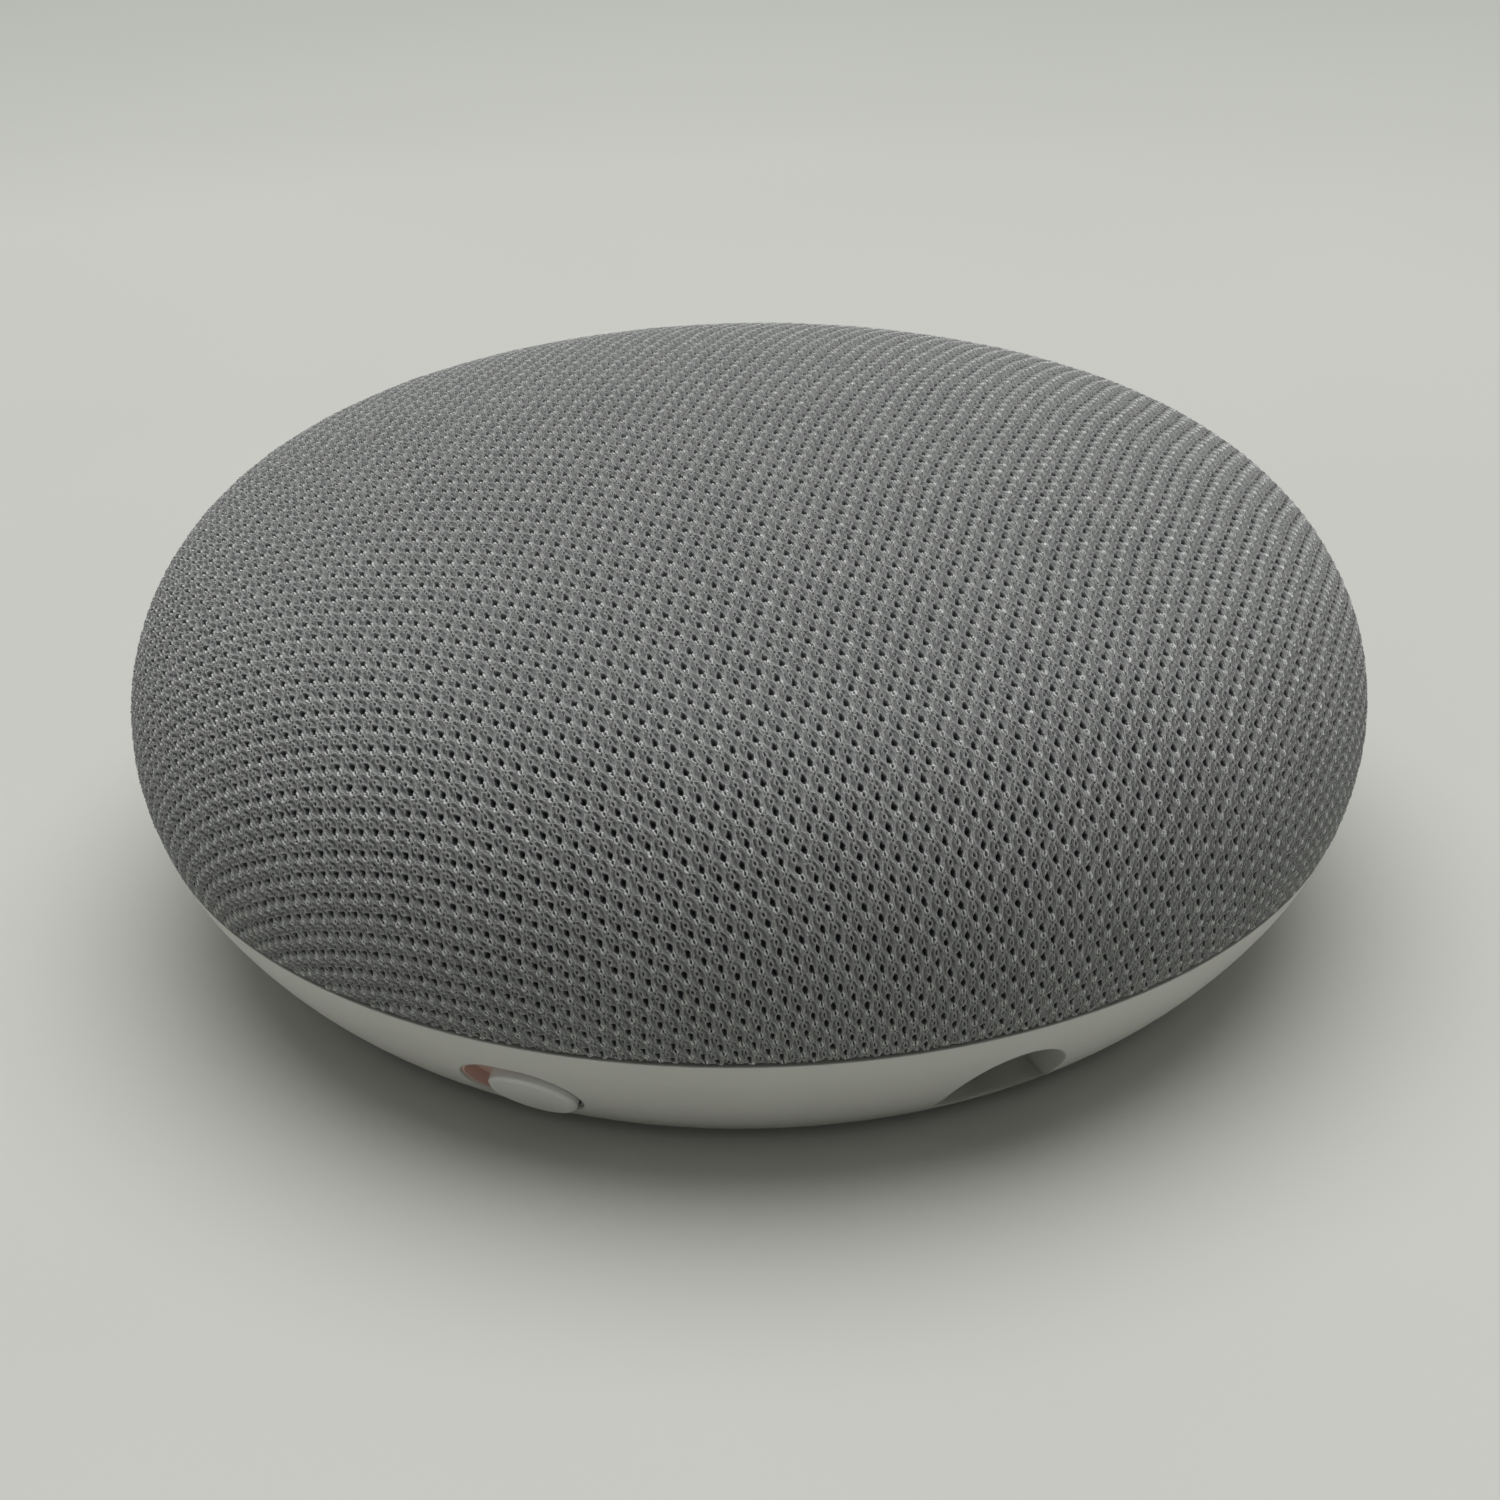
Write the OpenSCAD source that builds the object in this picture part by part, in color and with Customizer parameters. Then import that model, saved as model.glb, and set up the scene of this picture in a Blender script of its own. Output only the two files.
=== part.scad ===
// Round smart speaker: a pebble-shaped body with a fabric top over a perforated dome.
// Origin: centre of the base on the surface it stands on. +Z is up and the power port faces -Y.

/* [Body] */
// Largest diameter
body_d = 98; // [97:0.5:106]
// Height above the surface it stands on
body_h = 42; // [41.5:0.5:46]
// Height of the widest line
equator_z = 18.7; // [18.2:0.1:19.5]
// Radius of the shoulder above the widest line
shoulder_r = 16.8; // [15:0.1:18]
// Radius of the shoulder below the widest line
lower_r = 17.7; // [16.5:0.1:18.5]
// Angle that the lower shoulder sweeps before the bowl begins
lower_sweep = 32; // [29:1:35]
// Radius of the bowl that runs down to the base
bowl_r = 31; // [30:0.5:33]
// Height of the bare rim under the housing
foot_z = 0.8; // [0.6:0.05:0.9]
// Height of the fabric's lower edge
seam_z = 12.4; // [12.2:0.1:13]
// Shadow gap between the fabric's edge and the lower housing
seam_gap = 0.4; // [0.2:0.05:0.6]

/* [Walls and fits] */
// Thickness of the fabric
cloth_t = 0.9; // [0.7:0.05:1.1]
// Glue line between the fabric and the dome
glue_t = 0.05; // [0.03:0.01:0.1]
// Wall of the dome under the fabric
dome_t = 1.8; // [1.5:0.1:2.1]
// Wall of the lower housing
shell_t = 1.6; // [1.4:0.1:1.8]
// Height of the tongue that locates the dome
tongue_h = 3; // [2:0.1:4]
// Thickness of the tongue
tongue_t = 1.2; // [1:0.1:1.5]
// Clearance between parts that locate each other
fit = 0.15; // [0.1:0.01:0.2]
// Clearance between flat faces that are stacked
stack_gap = 0.1; // [0.05:0.01:0.15]

/* [Grille] */
// Diameter of a sound hole in the dome
hole_d = 2.4; // [1.6:0.1:2.8]
// Distance between rings of holes
hole_pitch = 4.8; // [4.4:0.1:5]
// First ring with holes, counted from the middle
first_ring = 4; // [4:1:5]
// Last ring with holes
last_ring = 7; // [6:1:7]

/* [Base pad] */
// Bare rim of housing left around the pad
pad_margin = 1.9; // [1.7:0.1:2.2]
// Thickness of the silicone pad
pad_t = 1.05; // [0.9:0.05:1.2]
// Radius of the pad's lower edge
pad_edge = 0.4; // [0.2:0.05:0.5]
// Thickness of the adhesive film on the pad
film_t = 0.15; // [0.1:0.01:0.2]
// Thickness of the housing's floor
floor_t = 1.6; // [1.4:0.1:2]

/* [Keyhole] */
// Diameter of the round entry for a screw head
key_d = 8; // [7.6:0.1:8.4]
// Width of the slot that holds the screw's neck
key_slot_w = 4.2; // [3.8:0.1:4.6]
// Distance from the entry to the end of the slot
key_run = 7; // [6:0.5:8]
// Distance of the entry from the middle of the base, toward the port
key_offset = 2; // [1:0.5:3]
// Room inside for the screw head
key_room = 3; // [2.6:0.1:3.2]
// Room around the screw head inside
key_clear = 0.6; // [0.5:0.1:0.8]
// Wall of the pocket over the keyhole
key_wall = 1; // [0.8:0.1:1.2]

/* [Power port] */
// Radius of the port's round top
port_r = 4.6; // [4.4:0.05:5]
// Height of the middle of the round top
port_z = 4.5; // [4.4:0.01:4.6]
// Height of the port's flat floor
port_floor_z = 2.6; // [2.3:0.05:2.7]
// Depth of the port at its middle
port_depth = 5; // [4.8:0.05:5.2]
// Wall around the port
port_wall = 1; // [0.9:0.05:1.1]
// Outer diameter of the jack
jack_d = 4.9; // [4.7:0.1:5]
// Diameter of the jack's bore
jack_bore_d = 4.1; // [3.8:0.1:4.2]
// Diameter of the jack's centre pin
jack_pin_d = 1.6; // [1.2:0.1:2]
// Length of the jack's body
jack_len = 11; // [10:0.5:13]
// Width of the jack's body
jack_w = 8.6; // [8:0.1:9]

/* [Mute switch] */
// Angle of the mute switch round from the port
switch_angle = 47.8; // [44:0.1:52]
// Height of the middle of the switch
switch_z = 5.6; // [5.4:0.05:5.8]
// Width of the switch's recess
recess_w = 9.4; // [9.2:0.1:9.6]
// Height of the switch's recess, up the slope of the housing
recess_h = 8.1; // [7.9:0.1:8.3]
// Depth of the recess below the middle of its mouth
recess_depth = 1.8; // [1.7:0.05:1.9]
// Wall behind the recess
recess_back = 1.2; // [1:0.1:1.3]
// Distance that the slider travels
slide_travel = 1.9; // [1.7:0.1:2]
// Height of the button's face above the middle of the recess's mouth
slider_proud = 0.33; // [0.2:0.01:0.4]
// Bevel round the button's face
slider_edge = 0.25; // [0.15:0.05:0.35]
// Thickness of the coloured track plate
track_t = 0.5; // [0.4:0.05:0.6]
// Thickness of the wall round the track plate
track_wall = 0.2; // [0.15:0.05:0.25]
// Depth of that wall's edge below the housing's surface
track_in = 0.2; // [0.1:0.05:0.3]
// Width of the slider's stem
stem_w = 2; // [1.8:0.1:2.2]
// Height of the slider's stem
stem_h = 1.8; // [1.7:0.1:2]
// Width of the switch's lever
lever_w = 1; // [0.8:0.1:1.1]
// Width of the switch's body
switch_w = 8; // [7.5:0.1:9]
// Depth of the switch's body
switch_len = 3.4; // [3:0.1:4]
// Height of the switch's body
switch_h = 4; // [3.8:0.1:4.1]

/* [Case screws] */
// Diameter of a case screw
case_screw_d = 2.5; // [2.3:0.1:2.6]
// Diameter of its head
case_head_d = 4.4; // [4:0.1:4.6]
// Height of its head
case_head_h = 1.8; // [1.5:0.1:2]
// Length below its head
case_screw_len = 16; // [14:0.5:18]
// Depth of the head's seat above the floor's underside
case_seat = 3; // [2.6:0.1:3.4]
// Wall around a screw hole
boss_wall = 0.8; // [0.7:0.05:0.9]

/* [Main board] */
// Distance of the main board's edge from the back of the port
port_gap = 1.6; // [1.5:0.1:2]
// Thickness of a circuit board
board_t = 1; // [0.8:0.1:1.2]
// Diameter of a standoff
standoff_d = 4.8; // [4.4:0.1:5]
// Diameter of a board screw
board_screw_d = 1.8; // [1.6:0.1:2]
// Diameter of a board screw's head
board_head_d = 3.8; // [3.6:0.1:4]
// Height of a small screw's head
small_head_h = 1.1; // [1:0.05:1.2]
// Length of a board screw below its head
board_screw_len = 5; // [4.6:0.1:5.2]
// Height of a shield can
can_h = 1.6; // [1.5:0.05:2]
// Sheet thickness of a shield can
can_t = 0.2; // [0.15:0.01:0.3]
// Thickness of the thermal pad
thermal_t = 0.5; // [0.4:0.05:0.8]
// Thickness of the heat spreader
spreader_t = 1; // [0.9:0.05:1.2]
// Distance of the heat spreader from the case screws' bosses
spreader_gap = 2.35; // [2:0.05:2.6]
// Height of the antennas
antenna_h = 5; // [4:0.1:6]
// Diameter of a power capacitor
cap_d = 5; // [4:0.1:5.2]
// Height of a power capacitor
cap_h = 3; // [2.6:0.1:3.2]

/* [Speaker] */
// Wall of the speaker box
box_t = 1.6; // [1.4:0.1:1.8]
// Thickness of the speaker box's ears
ear_t = 2; // [1.8:0.1:2.4]
// Depth of the driver below its mounting face
driver_depth = 13.1; // [13:0.1:13.6]
// Bare rim of the speaker box around the driver's round flange
lid_rim = 8.55; // [8.3:0.05:8.6]
// Width of the flange
flange_w = 2.8; // [2.6:0.1:3]
// Thickness of the flange
flange_t = 1.2; // [1:0.1:1.4]
// Distance of the driver's screws from the edge of its flange
screw_reach = 1.4; // [1.4:0.1:1.6]
// Diameter of a driver screw
driver_screw_d = 2.2; // [2:0.1:2.3]
// Thickness of the gasket under the flange
gasket_t = 0.4; // [0.3:0.05:0.6]
// Outer diameter of the voice coil's former
former_d = 17; // [16.8:0.1:17.2]
// Wall of the former
former_t = 0.3; // [0.25:0.01:0.35]
// Thickness of the winding
winding_t = 0.45; // [0.35:0.05:0.5]
// Air gap on each side of the coil
air_gap = 0.5; // [0.4:0.05:0.6]
// Diameter of the yoke
yoke_d = 24; // [23.5:0.1:24.4]
// Thickness of the yoke's base
yoke_base = 1.4; // [1.3:0.05:1.4]
// Thickness of the magnet
magnet_t = 2.6; // [2.5:0.05:2.7]
// Thickness of the pole plate
pole_t = 1.7; // [1.6:0.05:1.8]
// Distance that the cone moves each way
cone_travel = 1.5; // [1:0.1:1.5]
// Thickness of the cone
cone_t = 0.35; // [0.3:0.01:0.4]
// Radius of the surround's roll
roll_r = 1.7; // [1.6:0.05:1.75]
// Thickness of the surround and of the spider
skin_t = 0.3; // [0.25:0.01:0.35]

/* [Top board] */
// Diameter of the top board
top_board_d = 28.4; // [28:0.1:29]
// Space between the top board and the middle of the dome
top_room = 2.9; // [2.8:0.05:3]
// Distance of the top board's screws from its edge
top_screw_in = 2.9; // [2.7:0.1:3]
// Diameter of a top board screw
top_screw_d = 1.6; // [1.4:0.1:1.7]
// Length of a top board screw below its head
top_screw_len = 3; // [2.6:0.1:3.1]
// Number of status lights
led_count = 4; // [2:1:4]
// Gap between the bar of the light pipes and the touch contacts
led_gap = 1; // [0.9:0.1:1.6]
// Height of a status light
led_h = 0.6; // [0.5:0.05:0.7]
// Diameter of a light pipe
pipe_d = 2.4; // [2:0.1:2.6]
// Thickness of the bar that joins the light pipes
pipe_bar_t = 1; // [0.8:0.05:1.1]
// Distance of the microphones from the board's edge
mic_in = 4.4; // [4.2:0.1:4.6]
// Height of a microphone
mic_h = 1; // [0.8:0.05:1.1]
// Diameter of a microphone's sound hole
mic_hole_d = 1.2; // [0.8:0.1:1.4]
// Thickness of a touch pad
touch_t = 0.2; // [0.15:0.01:0.3]

/* [Wiring] */
// Diameter of a speaker wire
wire_d = 1; // [0.8:0.1:1.2]
// Distance between the two speaker wires
wire_pitch = 2; // [1.8:0.1:2.4]
// Width of the ribbon cable
ribbon_w = 8; // [6:0.5:8]
// Thickness of the ribbon cable
ribbon_t = 0.3; // [0.2:0.05:0.4]

/* [Hidden] */

$fn = 96;
crown_fn = 240;
small_fn = 24;
full_turn = 360;
half_turn = 180;
quarter_turn = 90;
cut = 0.5;  // how far a cutting tool runs past the face that it cuts
film_gap = 0.05;  // gap left at glued and soldered faces
hair = 0.001;  // how much smaller an arc is where it meets a tighter one

// Outline of the body: four tangent arcs, from the crown down to the foot
body_r = body_d / 2;
reach = body_d;
rise = body_h - equator_z;
shoulder_x = body_r - shoulder_r;
crown_r = (shoulder_x * shoulder_x + rise * rise - shoulder_r * shoulder_r) / (2 * (rise - shoulder_r));
crown_z = body_h - crown_r;
crown_angle = atan2(shoulder_x, equator_z - crown_z);
lower_x = body_r - lower_r;
bowl_x = lower_x - (bowl_r - lower_r) * cos(lower_sweep);
bowl_z = equator_z + (bowl_r - lower_r) * sin(lower_sweep);

// Height of the crown at a distance from the axis, and radius of the bowl at a height
function crown_at(r, inset) = crown_z + sqrt(pow(crown_r - inset, 2) - r * r);
function bowl_at(z, inset) = bowl_x + sqrt(pow(bowl_r - inset, 2) - pow(bowl_z - z, 2));
function spot(r, a) = [r * cos(a), r * sin(a)];
function quarters(start) = [for (i = [0:3]) start + i * quarter_turn];
function turn_of(chord, r) = 2 * asin(chord / (2 * r));
function thirds(start) = [for (i = [0:2]) start + i * full_turn / 3];

// Skins, counted as insets from the body's outline
dome_out = cloth_t + glue_t;
dome_in = dome_out + dome_t;
tongue_out = dome_in + fit;
tongue_in = tongue_out + tongue_t;
dome_low_z = seam_z + cloth_t + glue_t;
rim_z = seam_z - seam_gap;
rim_step = 1.4;
tongue_top_z = rim_z + tongue_h;

// Stack from the base up
pad_r = bowl_at(foot_z, 0) - pad_margin;
pad_z = pad_t + film_t;
floor_z = pad_z + floor_t;
root_z = pad_z + floor_t / 3;
jack_z = floor_z + stack_gap + jack_d / 2;
board_z = floor_z + stack_gap + jack_d;
board_top = board_z + board_t;
can_top = board_top + can_h;
spreader_z = can_top + thermal_t;
spreader_top = spreader_z + spreader_t;
box_z = spreader_top + stack_gap;
ear_top = box_z + ear_t;
yoke_z = box_z + box_t + stack_gap;
driver_z = yoke_z + driver_depth;
flange_top = driver_z + flange_t;
lid_top = driver_z - gasket_t;
lid_z = lid_top - box_t;

// Case screws
boss_start = 16;
boss_angles = quarters(boss_start);
boss_r = case_head_d / 2 + fit + boss_wall;
dome_boss_r = case_screw_d / 2 + 2 * boss_wall;
boss_ring = pad_r - case_head_d / 2 - boss_wall;
seat_z = pad_z + case_seat;
box_gap = 1;
box_r = boss_ring - boss_r - box_gap;

// Main board
port_back = bowl_at(port_z, 0) - port_depth;
board_r = port_back - port_gap;
standoff_start = 60;
standoff_angles = quarters(standoff_start);
cup_r = board_head_d / 2 + boss_wall + 2 * fit;
cup_floor = 0.8;
cup_edge = 1;
spreader_r = boss_ring - boss_r - spreader_gap;
standoff_ring = spreader_r - cup_r - cup_edge;
processor_size = [14, 14, 1];
processor_can = [19, 18];
processor_at = [0, 4];
radio_size = [8, 7, 1];
radio_can = [14, 11];
radio_at = [2, -13.5];
choke_size = [7, 7, 1.6];
choke_at = [16, 4];
cap_count = 3;
cap_gap = 0.15;
cap_margin = 1;
cap_ring = board_r - cap_d / 2 - cap_margin;
cap_start = boss_angles[3] + turn_of(boss_r + cap_d / 2 + 2 * cap_gap, cap_ring);
cap_angles = [for (i = [0:cap_count - 1]) cap_start + i * turn_of(cap_d + cap_gap, cap_ring)];
connector_size = [3, 10, 1.4];
wire_gap = 2.2;
wire_x = box_r + wire_gap;
ribbon_x = -wire_x;
antenna_edge = 2;
antenna_ring = board_r - antenna_edge;
antenna_t = 0.4;
antenna_lip = 2;
antenna_span = 28;
antenna_starts = [56, 126];

// Power port and mute switch
port_inner = port_back - port_wall;
switch_overhang = 0.4;
switch_front = board_r + switch_overhang;
switch_tilt = asin((bowl_z - switch_z) / bowl_r);
lever_z = board_z - switch_h / 2;
slider_d = recess_w - slide_travel - 2 * (fit + track_wall + film_gap);
track_gap = 0.2;
slider_back = recess_depth - track_t - track_gap;
slider_x = slide_travel / 2;
lever_len = 1.8;
stem_gap = 0.4;
stem_end = switch_front + stem_gap;

// Driver: heights are below its mounting face
flange_r = box_r - lid_rim;
wall_r = flange_r - flange_w;
seat_step = 3.2;
seat_r = wall_r - seat_step;
roll_seat = 1;
cone_r = wall_r - 2 * roll_r + roll_seat;
cone_rim = 1.2;
roll_x = cone_r + roll_r - skin_t;
tab_reach = 4.2;
tab_w = 6;
tab_end = flange_r + tab_reach;
driver_screw_ring = flange_r + screw_reach;
coil_r = former_d / 2 + winding_t;
yoke_in = coil_r + air_gap;
pole_r = former_d / 2 - former_t - air_gap;
yoke_top = driver_z - driver_depth + yoke_base + magnet_t + pole_t;
winding_h = 3.3;
former_gap = 0.2;
former_z = yoke_z + yoke_base + cone_travel + former_gap;
former_lip = 0.1;
winding_z = former_z + former_lip;
neck_depth = 3.9;
neck_z = driver_z - neck_depth;
neck_r = former_d / 2 + film_gap;
seat_depth = 5;
seat_top = driver_z - seat_depth;
basket_t = 1;
lid_hole_r = wall_r + basket_t + 2 * fit;
window_w = 7;
cap_sphere_r = 16;
cap_lip = 0.3;
cap_edge_r = former_d / 2 + cap_lip;
cap_edge_z = neck_z + cone_t + (cap_edge_r - neck_r) + film_gap;
driver_screw_start = 45;
driver_screw_angles = quarters(driver_screw_start);
driver_ear_r = 2.6;
driver_head_d = 4;
driver_screw_len = 6;

// Top board
top_z = body_h - dome_in - top_room;
top_board_z = top_z - board_t;
top_board_r = top_board_d / 2;
top_boss_wall = 1.2;
top_boss_r = top_screw_d / 2 + top_boss_wall;
top_screw_start = 30;
top_screw_angles = thirds(top_screw_start);
mic_start = 90;
mic_angles = thirds(mic_start);
mic_ring = top_board_r - mic_in;
top_screw_ring = top_board_r - top_screw_in;
mic_size = [3.5, 2.7];
mic_gasket_r = 1.9;
led_size = [1.6, 0.8];
bar_w = 3;
bar_z = top_z + led_h + stack_gap;
ring_r = top_board_r + 2 * fit;
touch_w = 3.3;
touch_in = top_board_r - touch_w;
touch_half_angle = 16;
touch_mid = [12, 4.4];
touch_mid_y = 2.7;
contact_y = 4.9;
contact_w = 1.6;
contact_len = 2.4;
contact_margin = 0.6;
contact_x = top_board_r - contact_len / 2 - contact_margin;
led_reach = contact_x - contact_len / 2 - led_gap - bar_w / 2;
led_x = [for (i = [0:led_count - 1]) led_reach * (2 * i / (led_count - 1) - 1)];
contact_t = 0.2;
ribbon_end = -6;
ribbon_bend = flange_top + roll_r + cone_travel;

// Holes of the grille, ring by ring, left out where a boss stands
boss_spots = [for (a = boss_angles) spot(boss_ring, a)];
boss_clear = dome_boss_r + hole_d / 2 + boss_wall;
holes_per_ring = 6;
grille = [for (k = [first_ring:last_ring]) for (i = [0:holes_per_ring * k - 1])
    let (p = spot(k * hole_pitch, i * full_turn / (holes_per_ring * k)))
    if (min([for (b = boss_spots) norm(p - b)]) > boss_clear) p];

// Ribs between the floor and the wall, left out at the port, the switch and the bosses
rib_count = 16;
rib_t = 1;
rib_in = 30;
rib_gap = 1;
rib_top = board_z - rib_gap;
rib_start = 3.75;
port_angle = 270;
port_keep = 15;
switch_keep = 14;
boss_keep = 8;
rib_angles = [for (i = [0:rib_count - 1]) let (a = rib_start + i * full_turn / rib_count)
    if (abs(a - port_angle) > port_keep && abs(a - port_angle + switch_angle) > switch_keep
        && min([for (b = boss_angles) abs(a - b)]) > boss_keep) a];

// Everything inside the bowl's arc
module bowl_side(inset) {
    translate([bowl_x, bowl_z]) circle(r = bowl_r - inset);
    square([bowl_x, reach]);
}

// Half section of the body, shrunk inward by a wall. Three of its arcs are a hair small, so that each crosses
// its neighbour at a point instead of touching it along a sliver.
module outline(inset) {
    upper_x = shoulder_x + (shoulder_r - inset) * sin(crown_angle);
    lower_z = equator_z - (lower_r - inset) * sin(lower_sweep);
    intersection() {
        translate([0, crown_z]) circle(r = crown_r - inset - hair, $fn = crown_fn);
        bowl_side(inset + 2 * hair);
        translate([0, foot_z]) square([reach, reach]);
        union() {
            square([upper_x, body_h]);
            square([body_r, lower_z]);
            translate([shoulder_x, equator_z]) circle(r = shoulder_r - inset);
            intersection() {
                translate([lower_x, equator_z]) circle(r = lower_r - inset - hair);
                square([reach, equator_z]);
            }
        }
    }
}

// Part of the half section between two heights
module outline_band(inset, low, high) {
    intersection() {
        outline(inset);
        translate([0, low]) square([reach, high - low]);
    }
}

// Same from the bowl's arc alone, carried on above its tangent point where the difference is too small
// to matter
module bowl_band(inset, low, high) {
    intersection() {
        bowl_side(inset);
        translate([0, low]) square([reach, high - low]);
    }
}

module around(r, angles) {
    for (a = angles) rotate([0, 0, a]) translate([r, 0, 0]) children();
}

module tube(outer, inner, h) {
    difference() {
        cylinder(r = outer, h = h);
        translate([0, 0, -cut]) cylinder(r = inner, h = h + 2 * cut);
    }
}

module block(size) {
    translate([-size[0] / 2, -size[1] / 2, 0]) cube(size);
}

// Round-ended slot that lies along X
module stadium(w, h) {
    half = (w - h) / 2;
    translate([-half, 0]) circle(d = h);
    translate([half, 0]) circle(d = h);
    square([2 * half, h], center = true);
}

module keyhole(head_r, neck_r) {
    circle(r = head_r);
    translate([-neck_r, 0]) square([2 * neck_r, key_run]);
    translate([0, key_run]) circle(r = neck_r);
}

module at_keyhole(z) {
    translate([0, -key_offset, z]) children();
}

// Round-topped section of the power port, seen along the port
module port_section(r, low) {
    intersection() {
        union() {
            translate([0, port_z]) circle(r = r);
            translate([-r, low]) square([2 * r, port_z - low]);
        }
        translate([-r, low]) square([2 * r, port_z + r - low]);
    }
}

// Bar along -Y, from one distance to another
module bar_out(from, to) {
    translate([0, -from, 0]) rotate([quarter_turn, 0, 0]) linear_extrude(to - from) children();
}

// Turns what faces -Y to the mute switch
module at_switch() {
    rotate([0, 0, -switch_angle]) children();
}

// Sets what faces -Y square to the bowl, with its origin at the middle of the recess's mouth
module on_bowl() {
    translate([0, -bowl_at(switch_z, 0), switch_z]) rotate([switch_tilt, 0, 0]) children();
}

module screw(d, len, head_d, head_h) {
    translate([0, 0, -len]) cylinder(d = d, h = len, $fn = small_fn);
    cylinder(d = head_d, h = head_h, $fn = small_fn);
}

// ---- Covers ----

module fabric_cover() {
    color("#8d9392") rotate_extrude() difference() {
        outline(0);
        outline_band(cloth_t, seam_z + cloth_t, body_h);
        outline(dome_in);
        square([reach, seam_z]);
    }
}

module top_shell() {
    color("#d9dad8") difference() {
        union() {
            difference() {
                rotate_extrude() difference() {
                    outline(dome_out);
                    outline(dome_in);
                    square([reach, dome_low_z]);
                }
                for (p = grille) translate([p[0], p[1], equator_z]) {
                    cylinder(d = hole_d, h = rise, $fn = small_fn);
                }
            }
            intersection() {
                rotate_extrude() outline(dome_out + dome_t / 2);
                union() {
                    around(boss_ring, boss_angles) translate([0, 0, ear_top]) {
                        cylinder(r = dome_boss_r, h = body_h - ear_top);
                    }
                    around(top_screw_ring, top_screw_angles) translate([0, 0, top_z]) {
                        cylinder(r = top_boss_r, h = body_h - top_z);
                    }
                    translate([0, 0, top_board_z]) tube(ring_r + basket_t, ring_r, body_h - top_board_z);
                }
            }
        }
        around(boss_ring, boss_angles) translate([0, 0, ear_top - cut]) {
            cylinder(d = case_screw_d + fit, h = case_screw_len + seat_z - ear_top + 2 * cut);
        }
        around(top_screw_ring, top_screw_angles) translate([0, 0, top_z - cut]) {
            cylinder(d = top_screw_d + fit, h = top_screw_len - board_t + 2 * cut, $fn = small_fn);
        }
        around(mic_ring, mic_angles) translate([0, 0, top_z]) {
            cylinder(d = mic_hole_d, h = body_h - top_z, $fn = small_fn);
        }
        for (x = led_x) translate([x, 0, top_z]) cylinder(d = pipe_d + 2 * stack_gap, h = body_h - top_z);
    }
}

// ---- Lower housing ----

module shell_section() {
    difference() {
        outline_band(0, foot_z, rim_z);
        bowl_band(shell_t, floor_z, rim_z - rim_step);
        outline_band(tongue_in, rim_z - rim_step - cut, rim_z + cut);
        square([pad_r + fit, pad_z]);
    }
    difference() {
        outline_band(tongue_out, rim_z - rim_step, tongue_top_z);
        outline_band(tongue_in, 0, tongue_top_z + cut);
    }
}

module case_boss() {
    translate([0, 0, root_z]) cylinder(r = boss_r, h = box_z - root_z);
}

module case_boss_hole() {
    translate([0, 0, pad_z - cut]) cylinder(d = case_head_d + 2 * fit, h = case_seat + cut);
    cylinder(d = case_screw_d + 2 * fit, h = box_z + cut);
}

module key_pocket() {
    at_keyhole(floor_z - cut) linear_extrude(key_room + key_wall + cut) {
        rotate(quarter_turn) translate([key_run / 2, 0]) {
            stadium(key_run + key_d + 2 * (key_clear + key_wall), key_d + 2 * (key_clear + key_wall));
        }
    }
}

module key_space() {
    at_keyhole(floor_z) linear_extrude(key_room) rotate(quarter_turn) translate([key_run / 2, 0]) {
        stadium(key_run + key_d + 2 * key_clear, key_d + 2 * key_clear);
    }
    at_keyhole(0) linear_extrude(floor_z + cut) keyhole(key_d / 2, key_slot_w / 2);
}

module bottom_shell() {
    color("#e2e2df") difference() {
        union() {
            rotate_extrude() shell_section();
            intersection() {
                rotate_extrude() bowl_band(shell_t / 2, foot_z, rim_z - rim_step);
                union() {
                    bar_out(port_inner, body_r) port_section(port_r + port_wall, root_z);
                    at_switch() on_bowl() bar_out(-recess_depth - recess_back, 0) {
                        stadium(recess_w + 2 * recess_back, recess_h + 2 * recess_back);
                    }
                    for (a = rib_angles) rotate([0, 0, a]) translate([rib_in, -rib_t / 2, root_z]) {
                        cube([body_r - rib_in, rib_t, rib_top - root_z]);
                    }
                }
            }
            around(boss_ring, boss_angles) case_boss();
            around(standoff_ring, standoff_angles) translate([0, 0, floor_z - cut]) {
                cylinder(d = standoff_d, h = board_z - floor_z + cut);
            }
            key_pocket();
        }
        around(boss_ring, boss_angles) case_boss_hole();
        around(standoff_ring, standoff_angles) translate([0, 0, floor_z]) {
            cylinder(d = board_screw_d + fit, h = board_z, $fn = small_fn);
        }
        key_space();
        bar_out(port_back, reach) port_section(port_r, port_floor_z);
        bar_out(port_inner - cut, reach) translate([0, jack_z]) circle(d = jack_d + 2 * fit);
        at_switch() {
            on_bowl() bar_out(-recess_depth, reach) stadium(recess_w, recess_h);
            stem_slot();
        }
    }
}

// Slot that lets the slider's stem travel
module stem_slot() {
    bar_out(switch_front, body_r) translate([0, lever_z]) {
        square([stem_w + slide_travel + 2 * fit, stem_h + 2 * fit], center = true);
    }
}

module base_pad() {
    color("#a9acab") difference() {
        rotate_extrude() {
            translate([0, pad_edge]) square([pad_r, pad_t - pad_edge]);
            square([pad_r - pad_edge, pad_edge]);
            intersection() {
                translate([pad_r - pad_edge, pad_edge]) circle(r = pad_edge, $fn = small_fn);
                translate([pad_r - pad_edge, 0]) square(pad_edge);
            }
        }
        at_keyhole(-cut) linear_extrude(pad_t + 2 * cut) {
            keyhole(key_d / 2 + 2 * fit, key_slot_w / 2 + 2 * fit);
        }
    }
}

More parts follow.
